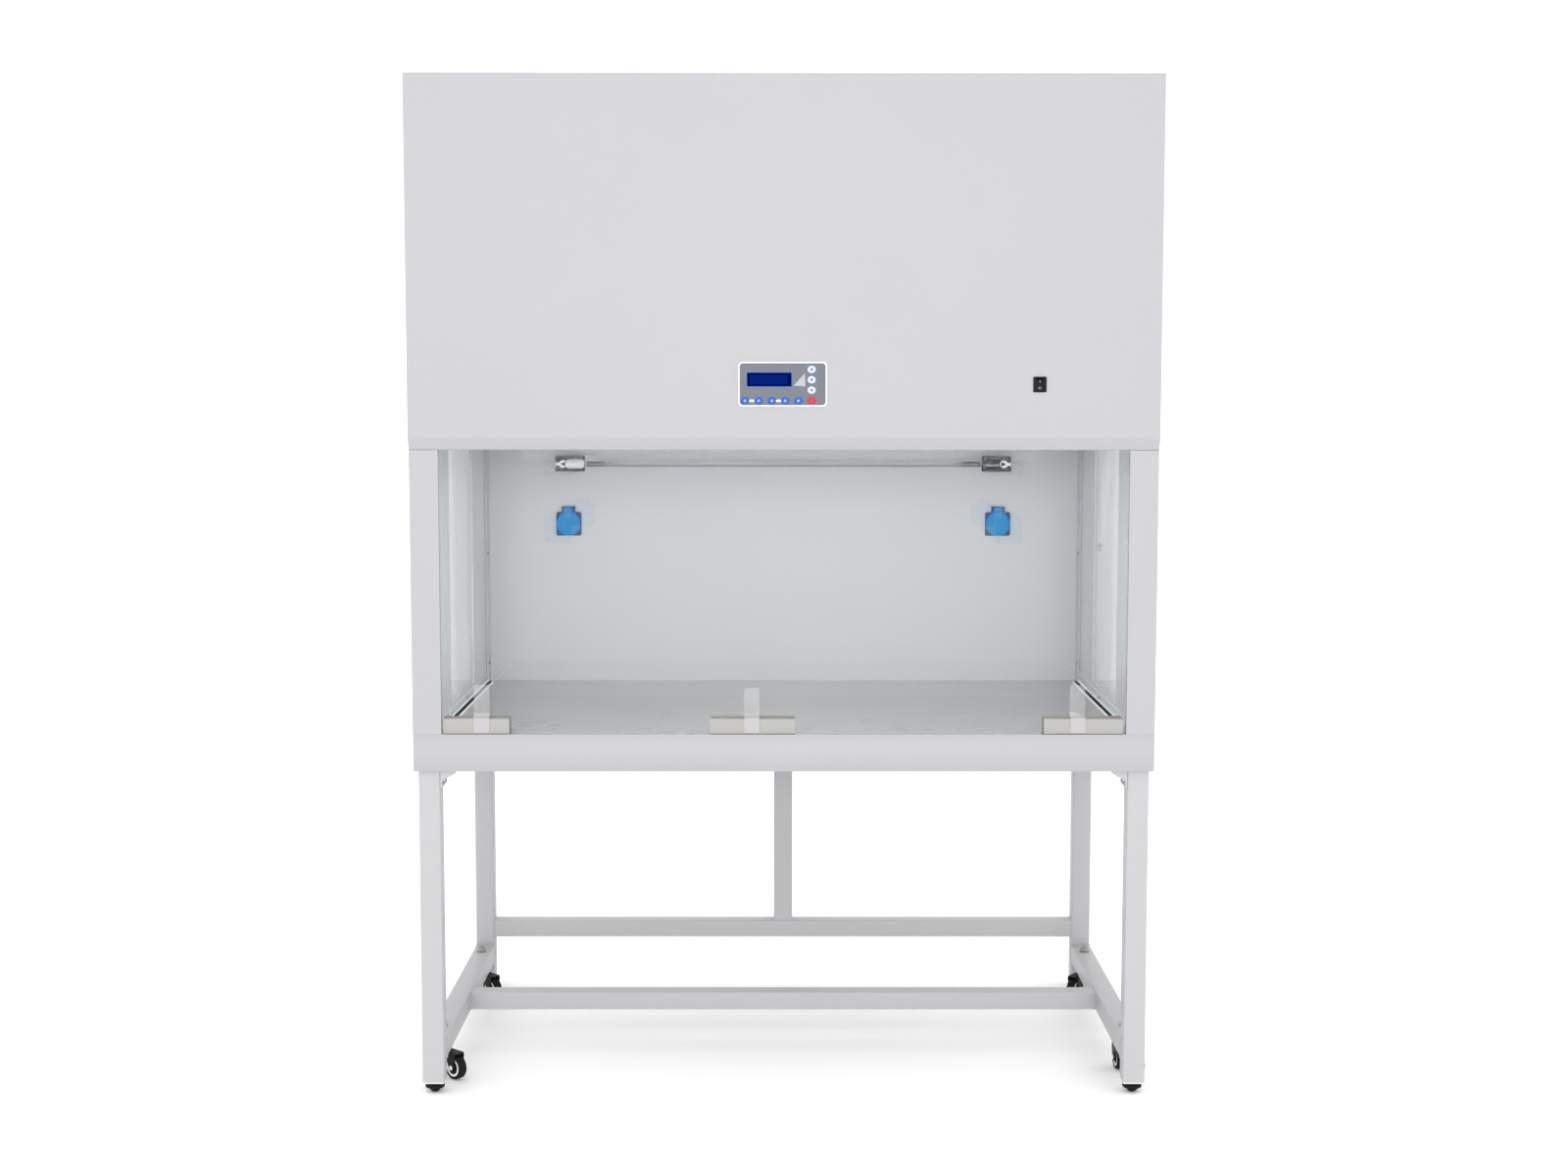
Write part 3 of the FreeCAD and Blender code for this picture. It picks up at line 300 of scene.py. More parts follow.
def makeGlass(name, look):
    material = bpy.data.materials.new(name)
    material.use_nodes = True
    tree = material.node_tree
    shader = tree.nodes["Principled BSDF"]
    shader.inputs["Transmission Weight"].default_value = look.get("clear", 1.0)
    shader.inputs["IOR"].default_value = look.get("ior", 1.46)
    shader.inputs["Alpha"].default_value = look.get("alpha", 1.0)
    colour = placeGroup(tree, cloudedTone, Tone=(*look["tone"], 1), Shade=(*look["shade"], 1), Scale=2.5,
                        Amount=0.5)
    tree.links.new(colour.outputs["Color"], shader.inputs["Base Color"])
    gloss = placeGroup(tree, wipedGloss, Scale=look.get("wipe", 7.0), Low=look["rough"][0],
                       High=look["rough"][1])
    tree.links.new(gloss.outputs["Roughness"], shader.inputs["Roughness"])
    return material


glassLooks = {
    "sashPane": {"tone": (0.985, 0.992, 0.990), "shade": (0.975, 0.985, 0.985), "rough": (0.0, 0.01),
                 "alpha": 0.08},
    # Painted shade: the clear side glass is tinted grey to darken the view through it.
    "sidePaneShaded": {"tone": (0.43, 0.453, 0.462), "shade": (0.415, 0.437, 0.446), "rough": (0.01, 0.03),
                 "ior": 1.52, "alpha": 0.6},
    "lampQuartz": {"tone": (0.86, 0.88, 0.90), "shade": (0.80, 0.82, 0.85), "rough": (0.02, 0.06)},
    "clearTape": {"tone": (0.50, 0.515, 0.52), "shade": (0.44, 0.455, 0.46), "rough": (0.25, 0.40),
                  "wipe": 40.0, "clear": 0.0, "alpha": 0.2},
}
for name, look in glassLooks.items():
    materials[name] = makeGlass(name, look)
print("materials made:", len(materials))


# Mesh helpers
def along(axis, u, v, w):
    # A point from two coordinates across an axis and one along it.
    if axis == "x":
        return Vector((w, u, v))
    if axis == "y":
        return Vector((u, w, v))
    return Vector((u, v, w))


def addRings(bm, rings, capped=True):
    made = [[bm.verts.new(p) for p in ring] for ring in rings]
    count = len(made[0])
    for lower, upper in zip(made, made[1:]):
        for i in range(count):
            j = (i + 1) % count
            bm.faces.new((lower[i], lower[j], upper[j], upper[i]))
    if capped:
        bm.faces.new(made[0])
        bm.faces.new(made[-1])
    return made


def addPrism(bm, outline, axis, start, end):
    return addRings(bm, [[along(axis, u, v, w) for u, v in outline] for w in (start, end)])


def addBox(bm, low, high):
    outline = [(low[0], low[1]), (high[0], low[1]), (high[0], high[1]), (low[0], high[1])]
    return addPrism(bm, outline, "z", low[2], high[2])


def roundedOutline(u0, u1, v0, v1, radius, steps=5):
    points = []
    corners = ((u1 - radius, v1 - radius, 0), (u0 + radius, v1 - radius, 90),
               (u0 + radius, v0 + radius, 180), (u1 - radius, v0 + radius, 270))
    for cu, cv, start in corners:
        for i in range(steps + 1):
            angle = math.radians(start + 90 * i / steps)
            points.append((cu + radius * math.cos(angle), cv + radius * math.sin(angle)))
    return points


def addTurned(bm, profile, centre, axis="z", steps=40):
    # Solid of revolution from (radius, distance along the axis) points.
    base = Vector(centre)
    rings = []
    for radius, distance in profile:
        radius = max(radius, 0.00001)
        ring = []
        for i in range(steps):
            angle = 2 * math.pi * i / steps
            ring.append(base + along(axis, radius * math.cos(angle), radius * math.sin(angle), distance))
        rings.append(ring)
    return addRings(bm, rings)


def addRod(bm, points, radius, steps=10, ripple=0.0):
    # A round bar that follows a list of points.
    rings = []
    points = [Vector(p) for p in points]
    side = None
    for i, point in enumerate(points):
        ahead = points[min(i + 1, len(points) - 1)] - points[max(i - 1, 0)]
        ahead.normalize()
        if side is None:
            side = ahead.orthogonal().normalized()
        side = (side - ahead * side.dot(ahead)).normalized()
        other = ahead.cross(side)
        size = radius * (1 + ripple * math.sin(i * 2.1))
        ring = []
        for k in range(steps):
            angle = 2 * math.pi * k / steps
            ring.append(point + (side * math.cos(angle) + other * math.sin(angle)) * size)
        rings.append(ring)
    return addRings(bm, rings)


def addFaceRings(bm, rings, capped=True):
    # Outlines in x and z, each at its own y.
    addRings(bm, [[Vector((u, y, v)) for u, v in outline] for outline, y in rings], capped)


def faceOutline(low, high, inset, radius, steps=5):
    # A rounded outline in x and z, set in from a box.
    return roundedOutline(low.x + inset, high.x - inset, low.z + inset, high.z - inset, radius, steps)


def scaled(*points):
    return [(u * mm, v * mm) for u, v in points]


def mergeInto(bm, part, place):
    part.transform(place)
    mesh = bpy.data.meshes.new("temp")
    part.to_mesh(mesh)
    part.free()
    bm.from_mesh(mesh)
    bpy.data.meshes.remove(mesh)


def mirrorMesh(bm):
    for vertex in bm.verts:
        vertex.co.x = -vertex.co.x
    bmesh.ops.reverse_faces(bm, faces=bm.faces)


def finishPiece(name, bm, material, slotName, nodes=(), body="cabinet", bevel=0.0, smooth=32, turn=None):
    # Turns a mesh into an object that rides a body and may stand for CAD nodes.
    bmesh.ops.recalc_face_normals(bm, faces=bm.faces)
    if turn is not None:
        bm.transform(turn)
    mesh = bpy.data.meshes.new(name)
    bm.to_mesh(mesh)
    bm.free()
    mesh.materials.append(materials[material])
    piece = bpy.data.objects.new(name, mesh)
    scene.collection.objects.link(piece)
    mesh.polygons.foreach_set("use_smooth", [True] * len(mesh.polygons))
    mesh.set_sharp_from_angle(angle=math.radians(smooth))
    if bevel > 0:
        edge = piece.modifiers.new("softEdge", "BEVEL")
        edge.width = bevel
        edge.segments = 2
        edge.limit_method = "ANGLE"
        edge.angle_limit = math.radians(28)
        edge.harden_normals = True
    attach(piece, body)
    if nodes:
        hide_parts(*nodes)
    return piece


def softened(nodeName, material, slotName, width):
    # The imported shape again, with its pressed or cut edges rounded over.
    bm = bmesh.new()
    bm.from_mesh(nodeOf[nodeName].data)
    bmesh.ops.remove_doubles(bm, verts=bm.verts, dist=0.000002)
    bmesh.ops.dissolve_limit(bm, angle_limit=math.radians(1.0), verts=bm.verts, edges=bm.edges)
    return finishPiece(nodeName + "Skin", bm, material, slotName, [nodeName], bevel=width)


def bothSides(name, build, material, slotName, nodes=(), **more):
    for side, label in ((1, "Right"), (-1, "Left")):
        bm = bmesh.new()
        build(bm)
        if side < 0:
            mirrorMesh(bm)
        finishPiece(name + label, bm, material, slotName, nodes, **more)


def dress(nodeName, material):
    node = nodeOf[nodeName]
    node.data.materials.clear()
    node.data.materials.append(materials[material])


# Stand
standLook = {"cornerRadius": 3.2 * mm, "beadRadius": 1.3 * mm, "railHeight": 36 * mm}


def addTube(bm, axis, u0, u1, v0, v1, start, end):
    # A tube along an axis, from its span across the axis and its two ends.
    addPrism(bm, roundedOutline(u0, u1, v0, v1, standLook["cornerRadius"]), axis, start, end)


def addBead(bm, axis, u0, u1, v0, v1, w):
    # A weld bead round the end of a tube.
    outline = roundedOutline(u0, u1, v0, v1, 2 * mm, 2)
    points = []
    for (ua, va), (ub, vb) in zip(outline, outline[1:] + outline[:1]):
        pieces = max(1, int(math.hypot(ub - ua, vb - va) / (1.5 * mm)))
        for i in range(pieces):
            t = i / pieces
            points.append(along(axis, ua + (ub - ua) * t, va + (vb - va) * t, w))
    points.append(points[0])
    addRod(bm, points, standLook["beadRadius"], 6, 0.18)


def buildStand():
    bm = bmesh.new()
    for x0 in (legsLow.x, legsHigh.x - tubeSize):
        for y0 in (legsLow.y, legsHigh.y - tubeSize):
            addTube(bm, "z", x0, x0 + tubeSize, y0, y0 + tubeSize, legsLow.z, legsHigh.z)
    finishPiece("legTubes", bm, "framePaint", "frame_paint", ["legs"])

    railLow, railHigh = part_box("side_rails")
    bm = bmesh.new()
    for x0 in (railLow.x, railHigh.x - tubeSize):
        addTube(bm, "y", x0, x0 + tubeSize, railLow.z, railHigh.z, railLow.y, railHigh.y)
    finishPiece("sideRailTubes", bm, "framePaint", "frame_paint", ["side_rails"])

    crossLow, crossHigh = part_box("cross_rails")
    crossRails = ((crossLow.y, crossLow.y + tubeSize, crossLow.z, crossLow.z + standLook["railHeight"]),
                  (crossHigh.y - tubeSize, crossHigh.y, crossHigh.z - standLook["railHeight"], crossHigh.z))
    bm = bmesh.new()
    for span in crossRails:
        addTube(bm, "x", *span, crossLow.x, crossHigh.x)
    finishPiece("crossRailTubes", bm, "framePaint", "frame_paint", ["cross_rails"])

    bm = bmesh.new()
    addTube(bm, "z", postLow.x, postHigh.x, postLow.y, postHigh.y, postLow.z, postHigh.z)
    finishPiece("rearPostTube", bm, "framePaint", "frame_paint", ["rear_post"])

    bm = bmesh.new()
    for side in (-1, 1):
        edge = crossHigh.x * side
        for span in crossRails:
            addBead(bm, "x", *span, edge)
        x0 = railHigh.x - tubeSize if side > 0 else railLow.x
        for y in (railLow.y, railHigh.y):
            addBead(bm, "y", x0, x0 + tubeSize, railLow.z, railHigh.z, y)
    addBead(bm, "z", postLow.x, postHigh.x, postLow.y, postHigh.y, postLow.z)
    finishPiece("weldBeads", bm, "framePaint", "frame_paint", smooth=80)
    softened("gussets", "framePaint", "frame_paint", 0.7 * mm)
    softened("leg_inserts", "whitePlastic", "white_plastic", 0.5 * mm)


def addHexNut(bm, x, y, z, flats, height):
    # Hex prism whose top corners are turned off at an angle.
    radius = flats / math.sqrt(3)
    steps = 48
    rings = []
    for level, inset in ((0, 0.6 * mm), (0.6 * mm, 0), (height - 1.2 * mm, 0), (height, 1.3 * mm)):
        ring = []
        for i in range(steps):
            angle = 2 * math.pi * i / steps
            local = (angle + math.pi / 6) % (math.pi / 3) - math.pi / 6
            reach = radius * math.cos(math.pi / 6) / math.cos(local)
            reach = min(reach, radius - inset)
            ring.append(Vector((x + reach * math.cos(angle), y + reach * math.sin(angle), z + level)))
        rings.append(ring)
    addRings(bm, rings)


def addThread(bm, x, y, z0, z1, radius, pitch):
    profile = [(0, z0), (radius - 0.5 * mm, z0)]
    level = z0
    while level + pitch < z1:
        profile.append((radius - 0.5 * mm, level + 0.1 * pitch))
        profile.append((radius, level + 0.5 * pitch))
        level += pitch
    profile.extend([(radius - 0.8 * mm, z1), (0, z1)])
    addTurned(bm, profile, (x, y, 0), "z", 24)


def buildStandFasteners():
    look = {"washerRadius": 10.5 * mm, "studTop": 3.6 * mm}
    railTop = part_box("side_rails")[1].z
    bm = bmesh.new()
    for joint in frame["joints"]:
        if not joint["name"].endswith("swivel"):
            continue
        x, y = joint["pos_m"][:2]
        addTurned(bm, [(0, 0), (look["washerRadius"], 0), (look["washerRadius"], 1.2 * mm), (0, 1.2 * mm)],
                  (x, y, railTop), "z", 32)
        addHexNut(bm, x, y, railTop + 1.2 * mm, 17 * mm, 6.8 * mm)
        addThread(bm, x, y, railTop + 1.2 * mm, railTop + 8 * mm + look["studTop"], 4.9 * mm, 1.5 * mm)
    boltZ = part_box("stand_fasteners")[1].z - 6 * mm
    boltY = legsLow.y + 24 * mm
    inner = legsHigh.x - tubeSize
    for side in (-1, 1):
        head = bmesh.new()
        addTurned(head, scaled((0, 0), (7.2, 0), (7.2, 1.1), (6, 1.1), (6, 2), (5.4, 3.8), (3.8, 5.2),
                               (2.6, 5.6), (2.4, 4.2), (0, 4.2)), (0, 0, 0), "x", 32)
        flip = Matrix.Translation((side * (inner - 3 * mm), boltY, boltZ)) @ Matrix.Scale(-side, 4, (1, 0, 0))
        mergeInto(bm, head, flip)
    finishPiece("standNutsAndBolts", bm, "zincSteel", "zinc_steel", ["stand_fasteners"])

    # A domed plug low on the outer face of the right front leg.
    plug = bmesh.new()
    addTurned(plug, scaled((0, -0.5), (9.2, -0.5), (9.2, 0.8), (8, 2.2), (5, 3.2), (0, 3.5)),
              (legsHigh.x, legsLow.y + tubeSize / 2, 49 * mm), "x", 32)
    finishPiece("legPlug", plug, "castMetal", "zinc_steel", smooth=40)


def buildFeet():
    look = {"ribs": 20, "ribDepth": 0.5 * mm}
    for corner in ("front_left", "front_right", "rear_left", "rear_right"):
        low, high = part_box("foot_" + corner)
        x = (low.x + high.x) / 2
        y = (low.y + high.y) / 2
        radius = (high.x - low.x) / 2
        padTop = 16.5 * mm
        profile = [(0, 0), (5 * mm, 0), (7 * mm, 1.5 * mm), (radius - 4.5 * mm, padTop - 8.5 * mm),
                   (radius - 0.8 * mm, padTop - 7.6 * mm), (radius, padTop - 6.6 * mm),
                   (radius, padTop - 1.2 * mm), (radius - 0.4 * mm, padTop - 0.4 * mm),
                   (radius - 1.4 * mm, padTop), (7 * mm, padTop), (0, padTop)]
        bm = bmesh.new()
        rings = addTurned(bm, profile, (x, y, 0), "z", look["ribs"] * 4)
        for ring in rings[5:7]:
            for i, vertex in enumerate(ring):
                if i % 4 < 2:
                    out = Vector((vertex.co.x - x, vertex.co.y - y, 0)).normalized()
                    vertex.co -= out * look["ribDepth"]
        finishPiece("footPad_" + corner, bm, "blackRubber", "black_rubber", ["foot_" + corner],
                    body="foot_" + corner)
        bm = bmesh.new()
        addThread(bm, x, y, padTop - 1 * mm, high.z, 5.9 * mm, 1.75 * mm)
        finishPiece("footStem_" + corner, bm, "zincSteel", "zinc_steel", body="foot_" + corner)


def buildCaster(corner):
    look = {"armThick": 2.5 * mm, "crown": 14 * mm, "rimOuter": 17.6 * mm, "rimInner": 12.2 * mm}
    swivel = Vector(jointOf("fork_" + corner)["pos_m"])
    spin = jointOf("wheel_" + corner)
    centre = Vector(spin["pos_m"])
    heading = math.atan2(centre.y - swivel.y, centre.x - swivel.x)
    trail = (Vector((centre.x, centre.y)) - Vector((swivel.x, swivel.y))).length
    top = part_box("caster_fork_" + corner)[1].z
    axle = centre.z
    turn = Matrix.Translation((swivel.x, swivel.y, 0)) @ Matrix.Rotation(heading, 4, "Z")
    fork = bmesh.new()
    crownLow = top - 3.5 * mm
    addTurned(fork, [(5 * mm, crownLow - 0.6 * mm), (look["crown"], crownLow - 0.6 * mm),
                     (look["crown"], top - 1 * mm), (look["crown"] - 1 * mm, top), (4.3 * mm, top),
                     (4.3 * mm, crownLow - 0.6 * mm)], (0, 0, 0), "z", 36)
    half = 12.4 * mm
    hood = [(-2 * mm, -half), (trail + 6 * mm, -half), (trail + 11 * mm, -half + 5 * mm),
            (trail + 11 * mm, half - 5 * mm), (trail + 6 * mm, half), (-2 * mm, half)]
    addPrism(fork, hood, "z", crownLow, top - 0.4 * mm)
    arm = [(4 * mm, top - 0.5 * mm), (trail + 9 * mm, top - 0.5 * mm),
           (trail + 10.4 * mm, crownLow - 3 * mm), (trail + 9 * mm, crownLow - 10 * mm)]
    for i in range(9):
        angle = math.radians(10 - 200 * i / 8)
        arm.append((trail + 7.4 * mm * math.cos(angle), axle + 7.4 * mm * math.sin(angle)))
    arm.extend([(trail - 13 * mm, crownLow - 10 * mm), (3 * mm, crownLow - 4 * mm)])
    for y in (-half, half - look["armThick"]):
        addPrism(fork, arm, "y", y, y + look["armThick"])
    finishPiece("forkShell_" + corner, fork, "blackPlastic", "black_plastic", ["caster_fork_" + corner],
                body="fork_" + corner, bevel=0.6 * mm, turn=turn)
    caps = bmesh.new()
    for sign in (-1, 1):
        profile = [(0, sign * (half - 0.2 * mm)), (4.6 * mm, sign * (half - 0.2 * mm)),
                   (4.6 * mm, sign * (half + 0.6 * mm)), (3.6 * mm, sign * (half + 1.4 * mm)),
                   (0, sign * (half + 1.6 * mm))]
        addTurned(caps, profile, (trail, 0, axle), "y", 28)
    addTurned(caps, [(3 * mm, -half), (3 * mm, half)], (trail, 0, axle), "y", 24)
    finishPiece("axleCaps_" + corner, caps, "rimPlastic", "black_plastic", body="fork_" + corner, turn=turn)

    wheelLow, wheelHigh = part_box("caster_wheel_" + corner)
    radius = (wheelHigh.z - wheelLow.z) / 2
    width = 9 * mm
    tyre = bmesh.new()
    outline = [(look["rimOuter"], -width + 1.2 * mm), (look["rimOuter"] + 1.4 * mm, -width)]
    for i in range(9):
        angle = math.radians(-90 + 180 * i / 8)
        outline.append((radius - 3.2 * mm + 3.2 * mm * math.cos(angle),
                        (width - 3.2 * mm) * (1 if angle > 0 else -1) + 3.2 * mm * math.sin(angle)))
    outline.extend([(look["rimOuter"] + 1.4 * mm, width), (look["rimOuter"], width - 1.2 * mm)])
    addTurned(tyre, outline, (trail, 0, axle), "y", 56)
    finishPiece("tyreRing_" + corner, tyre, "tyreRubber", "caster_tyre", ["caster_wheel_" + corner],
                body="wheel_" + corner, turn=turn)
    rim = bmesh.new()
    face = width - 1 * mm
    addTurned(rim, [(look["rimInner"], -face + 2.4 * mm), (look["rimInner"] + 0.8 * mm, -face),
                    (look["rimOuter"] - 0.6 * mm, -face), (look["rimOuter"] + 0.2 * mm, -face + 1 * mm),
                    (look["rimOuter"] + 0.2 * mm, face - 1 * mm), (look["rimOuter"] - 0.6 * mm, face),
                    (look["rimInner"] + 0.8 * mm, face), (look["rimInner"], face - 2.4 * mm)],
              (trail, 0, axle), "y", 48)
    finishPiece("rimRing_" + corner, rim, "rimPlastic", "caster_tyre", body="wheel_" + corner, turn=turn)
    hub = bmesh.new()
    addTurned(hub, [(3.1 * mm, -face - 0.4 * mm), (6.4 * mm, -face - 0.4 * mm),
                    (6.8 * mm, -face + 2.6 * mm), (look["rimInner"] + 0.2 * mm, -face + 3 * mm),
                    (look["rimInner"] + 0.2 * mm, face - 3 * mm), (6.8 * mm, face - 2.6 * mm),
                    (6.4 * mm, face + 0.4 * mm), (3.1 * mm, face + 0.4 * mm)], (trail, 0, axle), "y", 36)
    for i in range(6):
        rib = bmesh.new()
        addBox(rib, (6 * mm, -face + 1.4 * mm, -0.8 * mm), (look["rimInner"] + 0.6 * mm, face - 1.4 * mm,
                                                            0.8 * mm))
        mergeInto(hub, rib, Matrix.Translation((trail, 0, axle)) @ Matrix.Rotation(i * math.pi / 3, 4, "Y"))
    finishPiece("wheelHub_" + corner, hub, "blackPlastic", "black_plastic", body="wheel_" + corner, turn=turn)


buildStand()
buildStandFasteners()
buildFeet()
for corner in ("front_left", "front_right", "rear_left", "rear_right"):
    buildCaster(corner)
dress("caster_stems", "zincSteel")
print("stand made")


# Tray, worktop and walls
def buildTray():
    # Each level is an inset and a height, up from the bottom or down from the rim.
    look = {"corner": 3 * mm, "bottom": ((0.6, 0.0), (0.0, 0.6)),
            "rim": ((0.0, 0.5), (0.5, 0), (1.4, 0), (1.5, 2))}
    bm = bmesh.new()
    levels = [(inset * mm, trayLow.z + rise * mm) for inset, rise in look["bottom"]]
    levels += [(inset * mm, trayHigh.z - drop * mm) for inset, drop in look["rim"]]
    rings = []
    for inset, z in levels:
        outline = roundedOutline(trayLow.x + inset, trayHigh.x - inset, trayLow.y + inset,
                                 trayHigh.y - inset, look["corner"])
        rings.append([Vector((x, y, z)) for x, y in outline])
    addRings(bm, rings)
    finishPiece("skirtBox", bm, "whitePaint", "white_paint", ["base_tray"], smooth=50)


def buildFascia():
    # One bent sheet: flat front, a crease, and a lip that leans back.
    look = {"creaseHeight": 1221.3 * mm, "creaseRadius": 5 * mm, "lipRadius": 2 * mm, "lean": 10 * mm,
            "wall": 1.5 * mm}
    low, high = frontLow, frontHigh
    crease = Vector((low.y, look["creaseHeight"]))
    lipEnd = Vector((low.y + look["lean"], low.z))
    flangeEnd = Vector((high.y, low.z))
    top = Vector((low.y, high.z))
    line = [top]
    for corner, before, after, radius in ((crease, top, lipEnd, look["creaseRadius"]),
                                          (lipEnd, crease, flangeEnd, look["lipRadius"])):
        start = corner + (before - corner).normalized() * radius
        end = corner + (after - corner).normalized() * radius
        for i in range(6):
            t = i / 5
            line.append(start * (1 - t) ** 2 + corner * 2 * t * (1 - t) + end * t * t)
    line.append(flangeEnd)
    inner = []
    for i, point in enumerate(line):
        ahead = (line[min(i + 1, len(line) - 1)] - line[max(i - 1, 0)]).normalized()
        inner.append(point + Vector((-ahead.y, ahead.x)) * look["wall"])
    outline = [(p.x, p.y) for p in line + inner[::-1]]
    bm = bmesh.new()
    addPrism(bm, outline, "x", low.x, high.x)
    finishPiece("frontPanel", bm, "whitePaint", "white_paint", ["fascia"], bevel=0.5 * mm, smooth=24)


def buildCornerTrim():
    # A folded trim over each rear flange, with a darker strip along its front edge: painted shade for the
    # shadow in the rear corner.
    look = {"stand": 4.4 * mm, "shadeDeep": 5 * mm, "shadeStart": 2 * mm, "deep": 36.6 * mm, "top": 1198 * mm}
    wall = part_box("side_seals")[1].x
    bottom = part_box("worktop")[1].z + 0.4 * mm
    top = look["top"]
    front = backLow.y
    rear = front + look["deep"]

    def trim(bm):
        addBox(bm, (wall - look["stand"], front + look["shadeStart"], bottom), (wall - 0.2 * mm, rear, top))

    def shadeStrip(bm):
        addBox(bm, (wall - look["stand"] - 0.3 * mm, front - look["shadeDeep"], bottom),
               (wall - 0.2 * mm, front + look["shadeStart"], top))

    # The trim shares the back wall's paler colour: painted light.
    bothSides("cornerTrim", trim, "wallPaintedLight", "wall_paint", bevel=0.5 * mm)
    # The darker strip is painted shade.
    bothSides("cornerShadeStrip", shadeStrip, "cornerShade", "wall_paint", bevel=0.8 * mm)


def buildWorkChamber():
    skin = softened("side_walls", "whitePaint", "white_paint", 0.5 * mm)
    # Inner faces of the side walls take the paler liner colour: painted light.
    skin.data.materials.append(materials["linerPaintedLight"])
    for face in skin.data.polygons:
        if face.center.y > trayLow.y + 12 * mm and abs(face.center.x) < hoodHigh.x - 3 * mm:
            face.material_index = 1
    # The back wall's pale colour is painted light.
    dress("back_wall", "wallPaintedLight")
    softened("sash_guides", "anodised", "guide_metal", 0.3 * mm)
    dress("worktop", "polishedSteel")
    # The side glass's grey tint is painted shade.
    softened("side_windows", "sidePaneShaded", "clear_glass", 0.8 * mm)
    low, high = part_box("side_seals")

    def rubber(bm):
        outline = [(high.x - 11.5 * mm, low.z), (high.x - 5 * mm, low.z),
                   (high.x - 5 * mm, low.z + 3.4 * mm), (high.x - 5.8 * mm, low.z + 3.8 * mm),
                   (high.x - 11.2 * mm, low.z + 2 * mm)]
        addPrism(bm, outline, "y", low.y, high.y)

    def lips(bm):
        for x0, x1, z1 in ((high.x - 14.5 * mm, high.x - 11.5 * mm, 2.2 * mm),
                           (high.x - 5 * mm, high.x - 3.2 * mm, 7 * mm)):
            addPrism(bm, [(x0, low.z), (x1, low.z), (x1, low.z + z1), (x0, low.z + z1 * 0.8)], "y", low.y,
                     high.y)

    bothSides("worktopSeal", rubber, "sealRubber", "black_rubber", ["side_seals"])
    # The channel lips glow a little: painted glint along the seal.
    bothSides("sealChannel", lips, "paintedGlintWhite", "guide_metal")
    buildCornerTrim()


def addScrew(bm, radius, height):
    # Pan head along +Z with a cross recess.
    steps = 32
    rings = []
    for scale, level in ((1.0, 0), (1.0, 0.35), (0.9, 0.75), (0.66, 1.0), (0.3, 1.05), (0.12, 0.55),
                         (0.0, 0.5)):
        ring = []
        for i in range(steps):
            angle = 2 * math.pi * i / steps
            reach = max(radius * scale, 0.00001)
            z = height * level
            if scale < 0.7 and math.cos(4 * angle) > 0.55:
                z -= height * 0.45
            ring.append(Vector((reach * math.cos(angle), reach * math.sin(angle), z)))
        rings.append(ring)
    addRings(bm, rings)


def screwsAt(name, places, radius, height, material="zincSteel"):
    bm = bmesh.new()
    for position, direction in places:
        head = bmesh.new()
        addScrew(head, radius, height)
        aim = Vector(direction).to_track_quat("Z", "Y").to_matrix().to_4x4()
        mergeInto(bm, head, Matrix.Translation(position) @ aim)
    return finishPiece(name, bm, material, "zinc_steel", smooth=50)


def buildScrewsAndPlug():
    look = {"wallHeights": (42, 280), "backHeights": (720, 960, 1230, 1520, 1840),
            "roofRow": (-400, -130, 130, 400)}
    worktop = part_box("worktop")[1].z
    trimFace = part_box("side_seals")[1].x - 4.4 * mm
    inner = []
    for side in (-1, 1):
        for height in look["wallHeights"]:
            inner.append(((side * (trimFace - 0.1 * mm), backLow.y + 6 * mm, worktop + height * mm),
                          (-side, 0, 0)))
        inner.append(((side * (backHigh.x - 3 * mm), trayLow.y + 409 * mm, worktop + 12 * mm), (-side, 0, 0)))
    screwsAt("chamberScrews", inner, 4 * mm, 1.6 * mm, "castMetal")
    outer = []
    for side in (-1, 1):
        for height in look["backHeights"]:
            outer.append(((side * (hoodHigh.x - 20 * mm), trayHigh.y, height * mm), (0, 1, 0)))
    for x in look["roofRow"]:
        outer.append(((x * mm, trayHigh.y, 1840 * mm), (0, 1, 0)))
    rear = screwsAt("rearScrews", outer, 4 * mm, 2 * mm)
    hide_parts("body_screws")
    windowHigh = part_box("side_windows")[1]
    bm = bmesh.new()
    inside = windowHigh.x - 5 * mm
    centre = Vector((inside, windowHigh.y - 90 * mm, worktop + 313 * mm))
    addTurned(bm, scaled((0, 6), (5, 6), (5, 0), (8, -0.4), (8, -1.2), (6.4, -2.4), (3, -2.1), (0, -2.1)),
              centre, "x", 32)
    finishPiece("windowPlug", bm, "plugCream", "white_plastic", smooth=40)


buildTray()
buildFascia()
buildWorkChamber()
buildScrewsAndPlug()
print("cabinet made")


